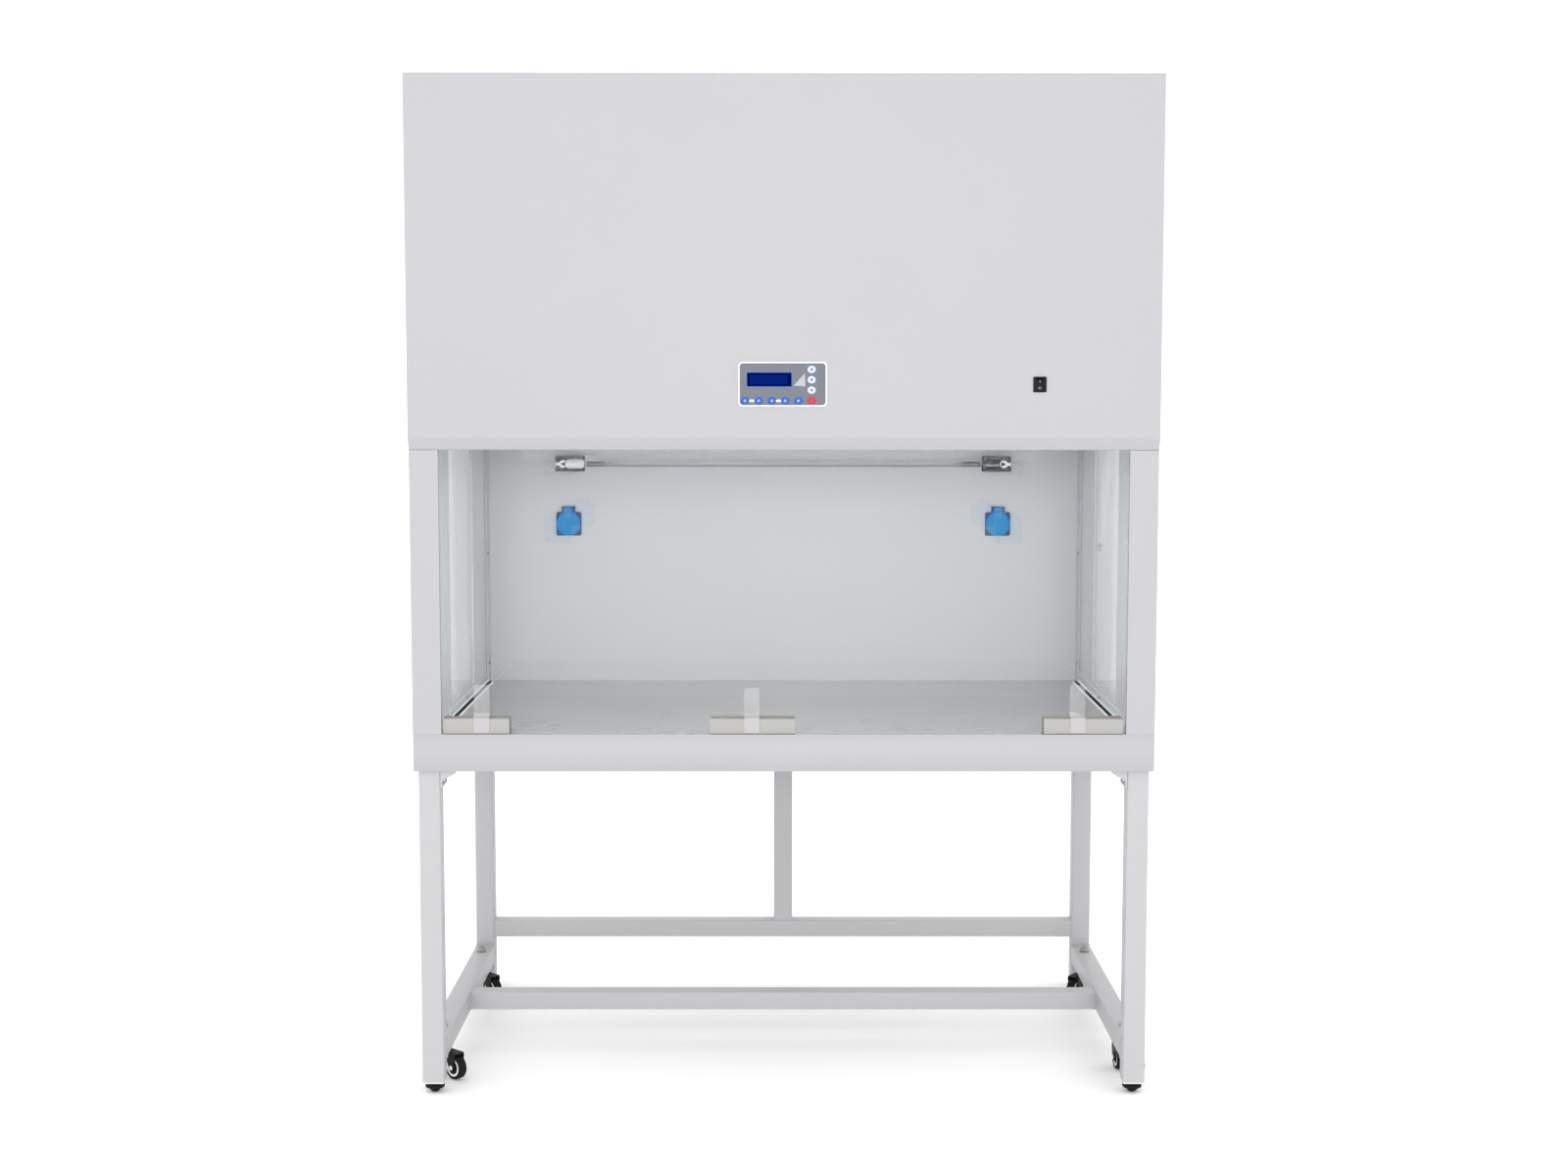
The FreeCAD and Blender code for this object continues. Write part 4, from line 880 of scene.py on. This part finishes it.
# Lamp and sockets
def buildLamp():
    look = {"clipHalf": 30.5 * mm, "capRadius": 10.2 * mm, "tubeRadius": 6.6 * mm}
    low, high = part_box("lamp_tube")
    y = (low.y + high.y) / 2
    z = (low.z + high.z) / 2
    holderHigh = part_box("lamp_holders")[1]
    clipEnd = holderHigh.x
    clipStart = clipEnd - 2 * look["clipHalf"]
    wall = holderHigh.y

    def clip(bm):
        plate = roundedOutline(clipStart, clipEnd, z - 17 * mm, z + 17 * mm, 3 * mm)
        addPrism(bm, plate, "y", wall - 1.5 * mm, wall)
        for sign in (-1, 1):
            # Upper and lower spring leaves, rolled in at their tips, then the two blocks at the outer end.
            path = [(wall - 1 * mm, z + sign * 16.2 * mm), (wall - 15 * mm, z + sign * 16.6 * mm),
                    (wall - 30 * mm, z + sign * 16.4 * mm), (wall - 35 * mm, z + sign * 15.4 * mm)]
            outline = path + [(a, b - sign * 4.6 * mm) for a, b in reversed(path)]
            addPrism(bm, outline, "x", clipStart + 6 * mm, clipEnd - 21 * mm)
            block = [(clipEnd, z + sign * 6 * mm), (clipEnd, z + sign * 16 * mm),
                     (clipEnd - 21 * mm, z + sign * 16 * mm), (clipEnd - 21 * mm, z + sign * 12 * mm),
                     (clipEnd - 11 * mm, z + sign * 6 * mm)]
            addPrism(bm, block, "y", wall - 34 * mm, wall - 20 * mm)
        for x in (clipStart + 6 * mm, clipEnd - 6 * mm):
            addTurned(bm, scaled((0, 0), (3.2, 0), (2.6, -1.4), (0, -1.6)),
                      (x, wall - 1.5 * mm, z + 12 * mm), "y", 20)

    def cap(bm):
        start = clipStart - 1 * mm
        r = look["capRadius"]
        addTurned(bm, [(look["tubeRadius"] + 0.6 * mm, 0), (r - 4.5 * mm, 0.4 * mm), (r, 6 * mm),
                       (r, 35 * mm), (r - 2.5 * mm, 39 * mm), (0, 40 * mm)], (start, y, z), "x", 16)
        outline = roundedOutline(start + 6 * mm, start + 36 * mm, z - 10 * mm, z + 10 * mm, 3 * mm)
        addPrism(bm, outline, "y", y, wall - 1.5 * mm)

    def horseshoe(bm):
        # The white insulator at the outer end: a ring open towards its tail, round a dark socket.
        centre = clipEnd - 16 * mm
        radius = 8.4 * mm
        outline = [(centre + radius * math.cos(math.radians(a)), z + radius * math.sin(math.radians(a)))
                   for a in range(25, 336, 10)]
        outline += [(clipEnd - 1 * mm, z - 2 * mm), (clipEnd - 1 * mm, z + 2 * mm)]
        addPrism(bm, outline, "y", wall - 35.5 * mm, wall - 22 * mm)

    def eye(bm):
        centre = clipEnd - 16.6 * mm
        outline = [(centre - 5 * mm, z - 4.6 * mm), (centre + 5.4 * mm, z), (centre - 5 * mm, z + 4.6 * mm)]
        addPrism(bm, outline, "y", wall - 35.9 * mm, wall - 35 * mm)

    # The clip's near-black colour is a painted reflection.
    bothSides("lampClip", clip, "clipDarkReflection", "chrome_clip", ["lamp_holders"], bevel=0.3 * mm)
    capLeft = bmesh.new()
    cap(capLeft)
    mirrorMesh(capLeft)
    # The left cap glows a little: painted highlight.
    finishPiece("lampCapLeft", capLeft, "paintedGlintWhite", "white_plastic", smooth=20)
    capRight = bmesh.new()
    cap(capRight)
    finishPiece("lampCapRight", capRight, "capSteel", "white_plastic", smooth=20)
    # The insulators glow a little: painted highlight.
    bothSides("lampInsulator", horseshoe, "paintedGlintWhite", "white_plastic", bevel=0.6 * mm)
    bothSides("lampEye", eye, "blackPlastic", "black_plastic")
    bm = bmesh.new()
    end = high.x
    r = look["tubeRadius"]
    profile = [(0, -end), (r * 0.7, -end + 1 * mm), (r, -end + 4 * mm), (r, end - 4 * mm),
               (r * 0.7, end - 1 * mm), (0, end)]
    addTurned(bm, profile, (0, y, z), "x", 32)
    finishPiece("lampTubeGlass", bm, "lampQuartz", "lamp_glass", ["lamp_tube"])
    bm = bmesh.new()
    for sign in (-1, 1):
        addTurned(bm, [(0, sign * (end - 76 * mm)), (3.4 * mm, sign * (end - 75 * mm)),
                       (3.4 * mm, sign * (end - 38 * mm)), (0, sign * (end - 36 * mm))], (0, y, z), "x", 20)
        addRod(bm, [(sign * (end - 76 * mm), y, z), (sign * (end - 96 * mm), y, z + 2 * mm)], 0.7 * mm, 8)
    finishPiece("lampElectrodes", bm, "galvanised", "chrome_clip")


def buildSocket(label):
    look = {"plateHalfX": 27 * mm, "plateHalfZ": 25.5 * mm, "lidRadius": 26.2 * mm, "neckHalf": 11.5 * mm,
            "earInner": 9 * mm, "earOuter": 14 * mm, "pinSpread": 9.5 * mm, "screws": (22 * mm, 20.6 * mm)}
    side = label.capitalize()
    lidLow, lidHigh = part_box("socket_lid_" + label)
    hinge = jointOf("socket_lid_" + label)["pos_m"]
    x = (lidLow.x + lidHigh.x) / 2
    z = lidLow.z + 25 * mm
    wall = backLow.y + 37 * mm
    plateFront = wall - 6 * mm
    bm = bmesh.new()
    outline = roundedOutline(x - look["plateHalfX"], x + look["plateHalfX"], z - look["plateHalfZ"],
                             z + look["plateHalfZ"], 4 * mm)
    plateRings = ((1.0, wall), (1.0, plateFront + 1.4 * mm), (0.94, plateFront))
    addRings(bm, [[Vector((x + (u - x) * s, y, z + (v - z) * s)) for u, v in outline] for s, y in plateRings])
    inner, outer = look["earInner"], look["earOuter"]
    ear = roundedOutline(hinge[1] - 4.5 * mm, wall, z + 24 * mm, hinge[2] + 4.5 * mm, 3 * mm)
    for x0, x1 in ((x - outer, x - inner), (x + inner, x + outer)):
        addPrism(bm, ear, "x", x0, x1)
    addBox(bm, (x - outer, wall - 4 * mm, z + 24 * mm), (x + outer, wall, z + 38 * mm))
    addTurned(bm, scaled((17, 0), (19, 0), (19, -0.9), (17.4, -0.9)), (x, plateFront, z), "y", 40)
    # The plate's darker blue is painted shade.
    finishPiece("socketPlate" + side, bm, "blueShadedPlate", "blue_plastic", ["socket_bodies"], bevel=0.4 * mm)

    # Recess with its pin holes, seen when the lid is up; the holes are flat dark grey discs, painted shade.
    well = bmesh.new()
    addTurned(well, scaled((0, -0.3), (16.8, -0.3), (17, 0.3), (0, 0.3)), (x, plateFront, z), "y", 40)
    finishPiece("socketWell" + side, well, "overlayGrey", "blue_plastic")
    holes = bmesh.new()
    for dx in (-look["pinSpread"], look["pinSpread"]):
        addTurned(holes, scaled((0, -0.5), (2.4, -0.5), (2.4, 0.2), (0, 0.2)), (x + dx, plateFront, z), "y",
                  20)
    addBox(holes, (x - 2.5 * mm, plateFront - 0.5 * mm, z + 12 * mm),
           (x + 2.5 * mm, plateFront + 0.2 * mm, z + 15 * mm))
    finishPiece("socketHoles" + side, holes, "holeShadeGrey", "black_plastic")
    screws = bmesh.new()
    for dx in (-1, 1):
        for dz in (-1, 1):
            addTurned(screws, scaled((0, -0.9), (2.9, -0.9), (3.4, 0), (0, 0)),
                      (x + dx * look["screws"][0], plateFront + 0.2 * mm, z + dz * look["screws"][1]), "y",
                      20)
    finishPiece("socketScrews" + side, screws, "screwBrown", "black_plastic")

    # Lid: a rounded octagon drawn up into a neck, with a raised rim, a finger tab and its knuckle.
    lid = bmesh.new()
    front = lidLow.y
    back = lidHigh.y
    neckHalf = look["neckHalf"]
    neckRise = hinge[2] - z - 3 * mm
    slope = math.acos(0.98 * look["lidRadius"] / math.hypot(neckHalf, neckRise))
    shoulder = math.atan2(neckRise, neckHalf) - slope

    def facetRing(scale, y):
        ring = [Vector((x + neckHalf * scale, y, z + neckRise * scale))]
        for i in range(49):
            angle = shoulder - (math.pi + 2 * shoulder) * i / 48
            local = (angle + math.pi / 8) % (math.pi / 4) - math.pi / 8
            octagon = 0.955 / math.cos(local)
            reach = look["lidRadius"] * scale * min(1.0, octagon)
            ring.append(Vector((x + reach * math.cos(angle), y, z + reach * math.sin(angle))))
        ring.append(Vector((x - neckHalf * scale, y, z + neckRise * scale)))
        return ring

    lidRings = ((0.97, back), (1.0, back - 1 * mm), (1.0, front + 2.6 * mm), (0.95, front + 0.8 * mm),
                (0.88, front), (0.82, front + 0.1 * mm), (0.78, front + 0.9 * mm), (0.5, front + 0.6 * mm),
                (0.2, front + 0.5 * mm))
    addRings(lid, [facetRing(s, y) for s, y in lidRings])
    addPrism(lid, [(x - 8.6 * mm, z + 19 * mm), (x + 8.6 * mm, z + 19 * mm), (x + 8.6 * mm, hinge[2]),
                   (x - 8.6 * mm, hinge[2])], "y", front + 2 * mm, back - 1 * mm)
    addTurned(lid, scaled((0, -8.6), (4, -8.6), (4, 8.6), (0, 8.6)), hinge, "x", 28)
    addPrism(lid, roundedOutline(x - 7 * mm, x + 7 * mm, z - 24.6 * mm, z - 20 * mm, 2 * mm), "y",
             front + 0.2 * mm, front + 4 * mm)
    finishPiece("socketLid" + side, lid, "bluePlastic", "blue_plastic", ["socket_lid_" + label],
                body="socket_lid_" + label, smooth=26)
    pin = bmesh.new()
    addTurned(pin, scaled((0, -14.3), (1.5, -14.2), (1.5, 14.2), (0, 14.3)), hinge, "x", 20)
    finishPiece("socketPin" + side, pin, "zincSteel", "zinc_steel")


buildLamp()
buildSocket("left")
buildSocket("right")
print("lamp and sockets made")


# Control panel and switch
capWide = 1.12


def addDome(bm, x, z, front, radius, rise, back):
    # A key cap, a little wider than it is high.
    profile = [(0, back), (radius, back), (radius, front + rise * 0.5)]
    for i in range(1, 6):
        t = i / 5
        profile.append((radius * math.cos(t * math.pi / 2 * 0.98),
                        front + rise * 0.5 - rise * 0.5 * math.sin(t * math.pi / 2)))
    profile.append((0, front))
    for ring in addTurned(bm, profile, (x, 0, z), "y", 40):
        for vertex in ring:
            vertex.co.x = x + (vertex.co.x - x) * capWide


def addPiercedPlate(bm, outline, holes, front, back):
    loops = [outline] + holes
    triangles = tessellate_polygon([[Vector((x, z, 0)) for x, z in loop] for loop in loops])
    points = [point for loop in loops for point in loop]
    near = [bm.verts.new((x, front, z)) for x, z in points]
    far = [bm.verts.new((x, back, z)) for x, z in points]
    for a, b, c in triangles:
        bm.faces.new((near[a], near[b], near[c]))
        bm.faces.new((far[c], far[b], far[a]))
    start = 0
    for loop in loops:
        for i in range(len(loop)):
            j = start + (i + 1) % len(loop)
            bm.faces.new((near[start + i], near[j], far[j], far[start + i]))
        start += len(loop)


def buildControlPanel():
    look = {"border": 3.6 * mm, "overlayRadius": 6 * mm, "keyRadius": 6.6 * mm, "icon": 2.4 * mm,
            "printProud": 0.12 * mm, "keyGap": 0.3 * mm, "capDepth": 1.4 * mm}
    low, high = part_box("control_panel")
    front = low.y
    face = frontLow.y
    bm = bmesh.new()
    outline = faceOutline(low, high, 0, 8 * mm)
    inner = faceOutline(low, high, 1.2 * mm, 7 * mm)
    b = look["border"]
    ledge = faceOutline(low, high, b, 5.5 * mm)
    addFaceRings(bm, ((outline, face), (outline, front + 1 * mm), (inner, front + 0.25 * mm),
                      (ledge, front + 0.25 * mm), (ledge, face), (outline, face)), capped=False)
    bmesh.ops.remove_doubles(bm, verts=bm.verts, dist=0.000001)
    finishPiece("panelBezel", bm, "borderPlastic", "grey_plastic", ["control_panel"], smooth=40)
    keyHoles = []
    wide = look["keyRadius"] * capWide + look["keyGap"]
    tall = look["keyRadius"] + look["keyGap"]
    for node in ("key_up", "key_middle", "key_down", "key_stop", "key_light", "key_pair_fan",
                 "key_pair_timer"):
        keyLow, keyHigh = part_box(node)
        z = (keyLow.z + keyHigh.z) / 2
        centres = [(keyLow.x + keyHigh.x) / 2]
        if "pair" in node:
            centres = [keyLow.x + 7.7 * mm, keyHigh.x - 7.7 * mm]
        for x in centres:
            keyHoles.append([(x + wide * math.cos(math.pi * i / 20), z + tall * math.sin(math.pi * i / 20))
                             for i in range(40)])
    bm = bmesh.new()
    addPiercedPlate(bm, faceOutline(low, high, b, look["overlayRadius"]), keyHoles, front + 0.02 * mm,
                    front + 0.6 * mm)
    finishPiece("panelOverlay", bm, "overlayEdge", "grey_plastic")
    e = b + 0.9 * mm
    bm = bmesh.new()
    addPiercedPlate(bm, faceOutline(low, high, e, look["overlayRadius"] - 0.9 * mm), keyHoles,
                    front - 0.01 * mm, front + 0.3 * mm)
    finishPiece("panelFilm", bm, "overlayGrey", "grey_plastic")

    screenLow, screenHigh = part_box("lcd_screen")
    bm = bmesh.new()
    outer = faceOutline(screenLow, screenHigh, 0, 1 * mm, 3)
    within = faceOutline(screenLow, screenHigh, 1.1 * mm, 0.8 * mm, 3)
    addFaceRings(bm, ((outer, front + 0.2 * mm), (outer, front - 0.25 * mm), (within, front - 0.2 * mm),
                      (within, front - 0.05 * mm)))
    finishPiece("displayEdge", bm, "displayEdge", "display")
    bm = bmesh.new()
    addPrism(bm, within, "y", front - 0.18 * mm, front + 0.1 * mm)
    finishPiece("displayFrame", bm, "displayFrame", "display", ["lcd_screen"])
    bm = bmesh.new()
    addPrism(bm, roundedOutline(screenLow.x + 6 * mm, screenHigh.x - 8 * mm, screenLow.z + 5 * mm,
                                screenHigh.z - 5 * mm, 0.5 * mm, 3), "y", front - 0.24 * mm,
             front - 0.1 * mm)
    finishPiece("displayWindow", bm, "displayGlow", "display")

    # A pale printed wedge between the display and the upper keys.
    bm = bmesh.new()
    right = screenHigh.x + 24 * mm
    addPrism(bm, [(screenHigh.x + 2.6 * mm, screenLow.z + 2.4 * mm), (right, screenLow.z + 1 * mm),
                  (right - 1 * mm, screenHigh.z - 2 * mm)], "y", front - 0.04 * mm, front + 0.3 * mm)
    finishPiece("panelWedge", bm, "printPale", "grey_plastic")

    radius = look["keyRadius"]
    singles = {"key_up": "keyWhite", "key_middle": "keyWhite", "key_down": "keyWhite", "key_stop": "keyRed",
               "key_light": "keyBlue"}
    for node, material in singles.items():
        keyLow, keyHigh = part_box(node)
        x = (keyLow.x + keyHigh.x) / 2
        z = (keyLow.z + keyHigh.z) / 2
        bm = bmesh.new()
        addDome(bm, x, z, keyLow.y + look["printProud"], radius, 0.6 * mm, front + look["capDepth"])
        slotName = {"keyWhite": "key_white", "keyRed": "key_red", "keyBlue": "key_blue"}[material]
        finishPiece(node + "Cap", bm, material, slotName, [node], body=node, smooth=50)
        bm = bmesh.new()
        mark = {"keyWhite": "keyViolet", "keyRed": "keyDeep", "keyBlue": "printSoft"}[material]
        addTurned(bm, [(0, 0.4 * mm), (look["icon"], 0.4 * mm), (look["icon"], 0.04 * mm), (0, 0)],
                  (x, keyLow.y, z), "y", 24)
        finishPiece(node + "Mark", bm, mark, slotName, body=node)
    for node in ("key_pair_fan", "key_pair_timer"):
        keyLow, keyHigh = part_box(node)
        z = (keyLow.z + keyHigh.z) / 2
        bm = bmesh.new()
        marks = bmesh.new()
        for x in (keyLow.x + 7.7 * mm, keyHigh.x - 7.7 * mm):
            addDome(bm, x, z, keyLow.y + look["printProud"], radius, 0.6 * mm, front + look["capDepth"])
            addTurned(marks, [(0, 0.4 * mm), (look["icon"], 0.4 * mm), (look["icon"], 0.04 * mm), (0, 0)],
                      (x, keyLow.y, z), "y", 24)
        middle = (keyLow.x + keyHigh.x) / 2
        link = bmesh.new()
        addPrism(link, roundedOutline(middle - 4.6 * mm, middle + 4.6 * mm, z - 2.2 * mm, z + 2.2 * mm,
                                      2 * mm), "y", front - 0.5 * mm, front + 1.5 * mm)
        finishPiece(node + "Caps", bm, "keyBlue", "key_blue", [node], body=node, smooth=50)
        finishPiece(node + "Marks", marks, "printSoft", "key_white", body=node, smooth=50)
        finishPiece(node + "Link", link, "printWhite", "key_white", body=node, smooth=50)


def buildSwitch():
    look = {"rimRadius": 2 * mm, "markGap": 6 * mm}
    low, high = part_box("switch_housing")
    x = (low.x + high.x) / 2
    z = (low.z + high.z) / 2
    front = low.y
    face = frontLow.y
    bm = bmesh.new()
    outer = faceOutline(low, high, 0, look["rimRadius"], 4)
    lip = faceOutline(low, high, 1 * mm, 1.6 * mm, 4)
    mouth = roundedOutline(x - 7 * mm, x + 7 * mm, z - 11.3 * mm, z + 11.3 * mm, 0.8 * mm, 4)
    addFaceRings(bm, ((outer, face), (outer, front + 0.6 * mm), (lip, front), (mouth, front + 0.1 * mm),
                      (mouth, face + 10 * mm)))
    finishPiece("switchFrame", bm, "blackPlastic", "black_plastic", ["switch_housing"], smooth=40)
    pivot = Vector(jointOf("rocker")["pos_m"])
    bm = bmesh.new()
    depth = 6.4 * mm
    reach = 10.2 * mm
    outline = [(3 * mm, -8 * mm)]
    for i in range(13):
        t = -1 + 2 * i / 12
        outline.append((-5.0 * mm - (depth - 5.0 * mm) * t * t, reach * t))
    outline.append((3 * mm, 8 * mm))
    addPrism(bm, outline, "x", -6.7 * mm, 6.7 * mm)
    tilt = Matrix.Translation(pivot) @ Matrix.Rotation(math.radians(7), 4, "X")
    finishPiece("rockerPaddle", bm, "blackPlastic", "black_plastic", ["rocker"], body="rocker",
                bevel=0.5 * mm, turn=tilt)
    marks = bmesh.new()
    mark = look["markGap"]
    addBox(marks, (-0.5 * mm, -6.02 * mm, mark - 2 * mm), (0.5 * mm, -5.0 * mm, mark + 2 * mm))
    ring = []
    for i in range(25):
        angle = 2 * math.pi * i / 24
        ring.append((1.9 * mm * math.cos(angle), -5.55 * mm, -mark + 1.9 * mm * math.sin(angle)))
    addRod(marks, ring, 0.42 * mm, 8)
    finishPiece("rockerMarks", marks, "printSoft", "key_white", body="rocker", turn=tilt)


buildControlPanel()
buildSwitch()
print("controls made")


# Hood casing, rear fittings and air path
def buildHood():
    softened("hood_sides", "whitePaint", "white_paint", 0.5 * mm)
    softened("hood_top", "whitePaint", "white_paint", 0.4 * mm)
    softened("hood_back", "whitePaint", "white_paint", 0.5 * mm)
    look = {"coverInset": 200 * mm, "coverLow": 1240 * mm, "coverHigh": 1810 * mm, "louvreCount": 7,
            "louvreX": 260 * mm, "louvreHalf": 60 * mm}
    back = trayHigh.y
    bm = bmesh.new()
    x1 = hoodHigh.x - look["coverInset"]
    outline = roundedOutline(-x1, x1, look["coverLow"], look["coverHigh"], 6 * mm)
    coverRings = ((1.0, back), (1.0, back + 0.9 * mm), (0.999, back + 1.3 * mm))
    addRings(bm, [[Vector((u * s, y, v)) for u, v in outline] for s, y in coverRings])
    finishPiece("rearCover", bm, "whitePaint", "white_paint", smooth=40)
    louvres = bmesh.new()
    for block in (-1, 1):
        for i in range(look["louvreCount"]):
            z = look["coverLow"] + 60 * mm + i * 16 * mm
            centre = block * look["louvreX"]
            outline = [(back + 1.2 * mm, z), (back + 3.3 * mm, z + 0.4 * mm),
                       (back + 3.3 * mm, z + 1.2 * mm), (back + 1.2 * mm, z + 8 * mm)]
            addPrism(louvres, outline, "x", centre - look["louvreHalf"], centre + look["louvreHalf"])
    finishPiece("rearLouvres", louvres, "whitePaint", "white_paint", bevel=0.3 * mm)
    places = []
    for x in (-x1 + 12 * mm, 0, x1 - 12 * mm):
        for z in (look["coverLow"] + 12 * mm, look["coverHigh"] - 12 * mm):
            places.append(((x, back + 1.3 * mm, z), (0, 1, 0)))
    screwsAt("coverScrews", places, 3.5 * mm, 1.8 * mm)
    softened("power_inlet", "blackPlastic", "black_plastic", 0.4 * mm)
    dress("diffuser", "whitePaint")
    dress("main_filter", "filterCloth")
    dress("prefilter", "filterCloth")
    for node in ("plenum", "blower_housing", "control_box", "impeller"):
        dress(node, "galvanised")
    dress("blower_motor", "castMetal")


def buildSash():
    look = {"arris": 1.2 * mm}
    low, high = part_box("sash_glass")
    bm = bmesh.new()
    addPrism(bm, faceOutline(low, high, 0, 4 * mm), "y", low.y, high.y)
    finishPiece("sashPane", bm, "sashPane", "clear_glass", ["sash_glass"], body="sash", bevel=look["arris"])


def buildPacking():
    # Closed-cell foam blocks cut by hand, so no face is quite flat.
    look = {"spans": ((-624.7, -503.7), (-135.4, 20.1), (477.0, 622.4)), "edge": 1.6 * mm, "wander": 0.7 * mm}
    low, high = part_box("transit_pads")
    for index, (x0, x1) in enumerate(look["spans"]):
        bm = bmesh.new()
        columns = int((x1 - x0) / 9)
        rings = []
        for i in range(columns + 1):
            x = x0 * mm + (x1 - x0) * mm * i / columns
            outline = roundedOutline(low.y + 0.4 * mm, high.y - 0.4 * mm, low.z, high.z - 0.4 * mm,
                                     look["edge"], 3)
            ring = []
            for u, v in outline:
                shift = noise.noise(Vector((x * 40, u * 60, v * 60 + index * 7))) * look["wander"]
                lift = shift if v > (low.z + high.z) / 2 else 0
                ring.append(Vector((x, max(low.y, min(high.y, u + shift)), min(high.z, v + lift))))
            rings.append(ring)
        addRings(bm, rings)
        pad = finishPiece("foamBlock%d" % (index + 1), bm, "foamWhite", "foam", ["transit_pads"],
                          body="sash", smooth=75)


def buildTapes():
    look = {"spans": ((-569, -540), (-73, -45), (525, 553)), "tops": (90, 84, 90), "slant": (0, 0, -9),
            "sheet": 0.12 * mm}
    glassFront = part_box("sash_glass")[0].y
    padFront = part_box("transit_pads")[0].y
    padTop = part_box("transit_pads")[1].z
    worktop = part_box("worktop")[1].z
    clear = bmesh.new()
    paper = bmesh.new()
    for index, (x0, x1) in enumerate(look["spans"]):
        top = worktop + look["tops"][index] * mm
        for bm, path in ((clear, [(glassFront - 0.1 * mm, top), (glassFront - 0.1 * mm, padTop + 6 * mm),
                                  (padFront - 0.1 * mm, padTop + 0.1 * mm),
                                  (padFront - 0.1 * mm, worktop + 2 * mm)]),
                         (paper, [(glassFront - 0.16 * mm, padTop + 8 * mm),
                                  (glassFront - 0.3 * mm, padTop + 6 * mm),
                                  (padFront - 0.1 * mm, padTop + 0.4 * mm),
                                  (padFront - 0.1 * mm, worktop + 2.2 * mm)])):
            columns = 10
            rings = []
            lift = look["sheet"] if bm is paper else 0.0
            for i in range(columns + 1):
                x = (x0 + (x1 - x0) * i / columns) * mm
                if bm is clear:
                    tear = noise.noise(Vector((x * 300, index * 3.1, 1.0))) * 2.0 * mm
                else:
                    tear = (i / columns - 0.5) * look["slant"][index] * mm
                ring = []
                for j, (y, z) in enumerate(path):
                    ring.append(Vector((x, y - lift, z + (tear if j == 0 else 0))))
                back = [Vector((p.x, p.y + look["sheet"], p.z)) for p in reversed(ring)]
                rings.append(ring + back)
            addRings(bm, rings)
    finishPiece("clearTapes", clear, "clearTape", "clear_tape", ["transit_tapes"], body="sash", smooth=60)
    finishPiece("paperTapes", paper, "paperTape", "clear_tape", body="sash", smooth=60)


buildHood()
buildSash()
buildPacking()
buildTapes()
print("hood, sash and packing made")


# Room, light and camera
def buildRoom():
    look = {"floorTone": (0.985, 0.985, 0.985), "worldTone": 1.35}
    bm = bmesh.new()
    size = 14.0
    floor = [Vector((-size, -size, 0)), Vector((size, -size, 0)), Vector((size, size, 0)),
             Vector((-size, size, 0))]
    bm.faces.new([bm.verts.new(p) for p in floor])
    mesh = bpy.data.meshes.new("studioFloor")
    bm.to_mesh(mesh)
    bm.free()
    stage = bpy.data.objects.new("studioFloor", mesh)
    scene.collection.objects.link(stage)
    finish = makeMaterial("studioFloorFinish", {"tone": look["floorTone"], "shade": (0.975, 0.975, 0.975),
                                                "rough": (0.7, 0.8), "bump": 0.02})
    mesh.materials.append(finish)
    world = bpy.data.worlds.new("studio")
    scene.world = world
    world.use_nodes = True
    background = world.node_tree.nodes["Background"]
    background.inputs["Color"].default_value = (1, 1, 1, 1)
    background.inputs["Strength"].default_value = look["worldTone"]


def addSoftLight(name, place, target, size, power):
    data = bpy.data.lights.new(name, "AREA")
    data.shape = "RECTANGLE"
    data.size, data.size_y = size
    data.energy = power
    lamp = bpy.data.objects.new(name, data)
    scene.collection.objects.link(lamp)
    lamp.location = place
    lamp.rotation_euler = (Vector(target) - Vector(place)).to_track_quat("-Z", "Y").to_euler()


def buildCamera():
    look = {"place": (-0.0091, -4.3819, 1.3057), "pitch": 5.124, "yaw": 0.127, "roll": -0.039, "lens": 50.51}
    data = bpy.data.cameras.new("mainView")
    data.sensor_width = 36
    data.lens = look["lens"]
    data.clip_end = 60
    camera = bpy.data.objects.new("mainView", data)
    scene.collection.objects.link(camera)
    camera.location = look["place"]
    camera.rotation_euler = (math.radians(90 - look["pitch"]), math.radians(look["roll"]),
                             math.radians(-look["yaw"]))
    bpy.context.scene.camera = camera


buildRoom()
addSoftLight("frontFill", (0.0, -9.0, 1.9), (0, 0, 1.0), (3.0, 2.0), 200)
buildCamera()
scene.view_settings.view_transform = "Standard"
print("room and camera made")
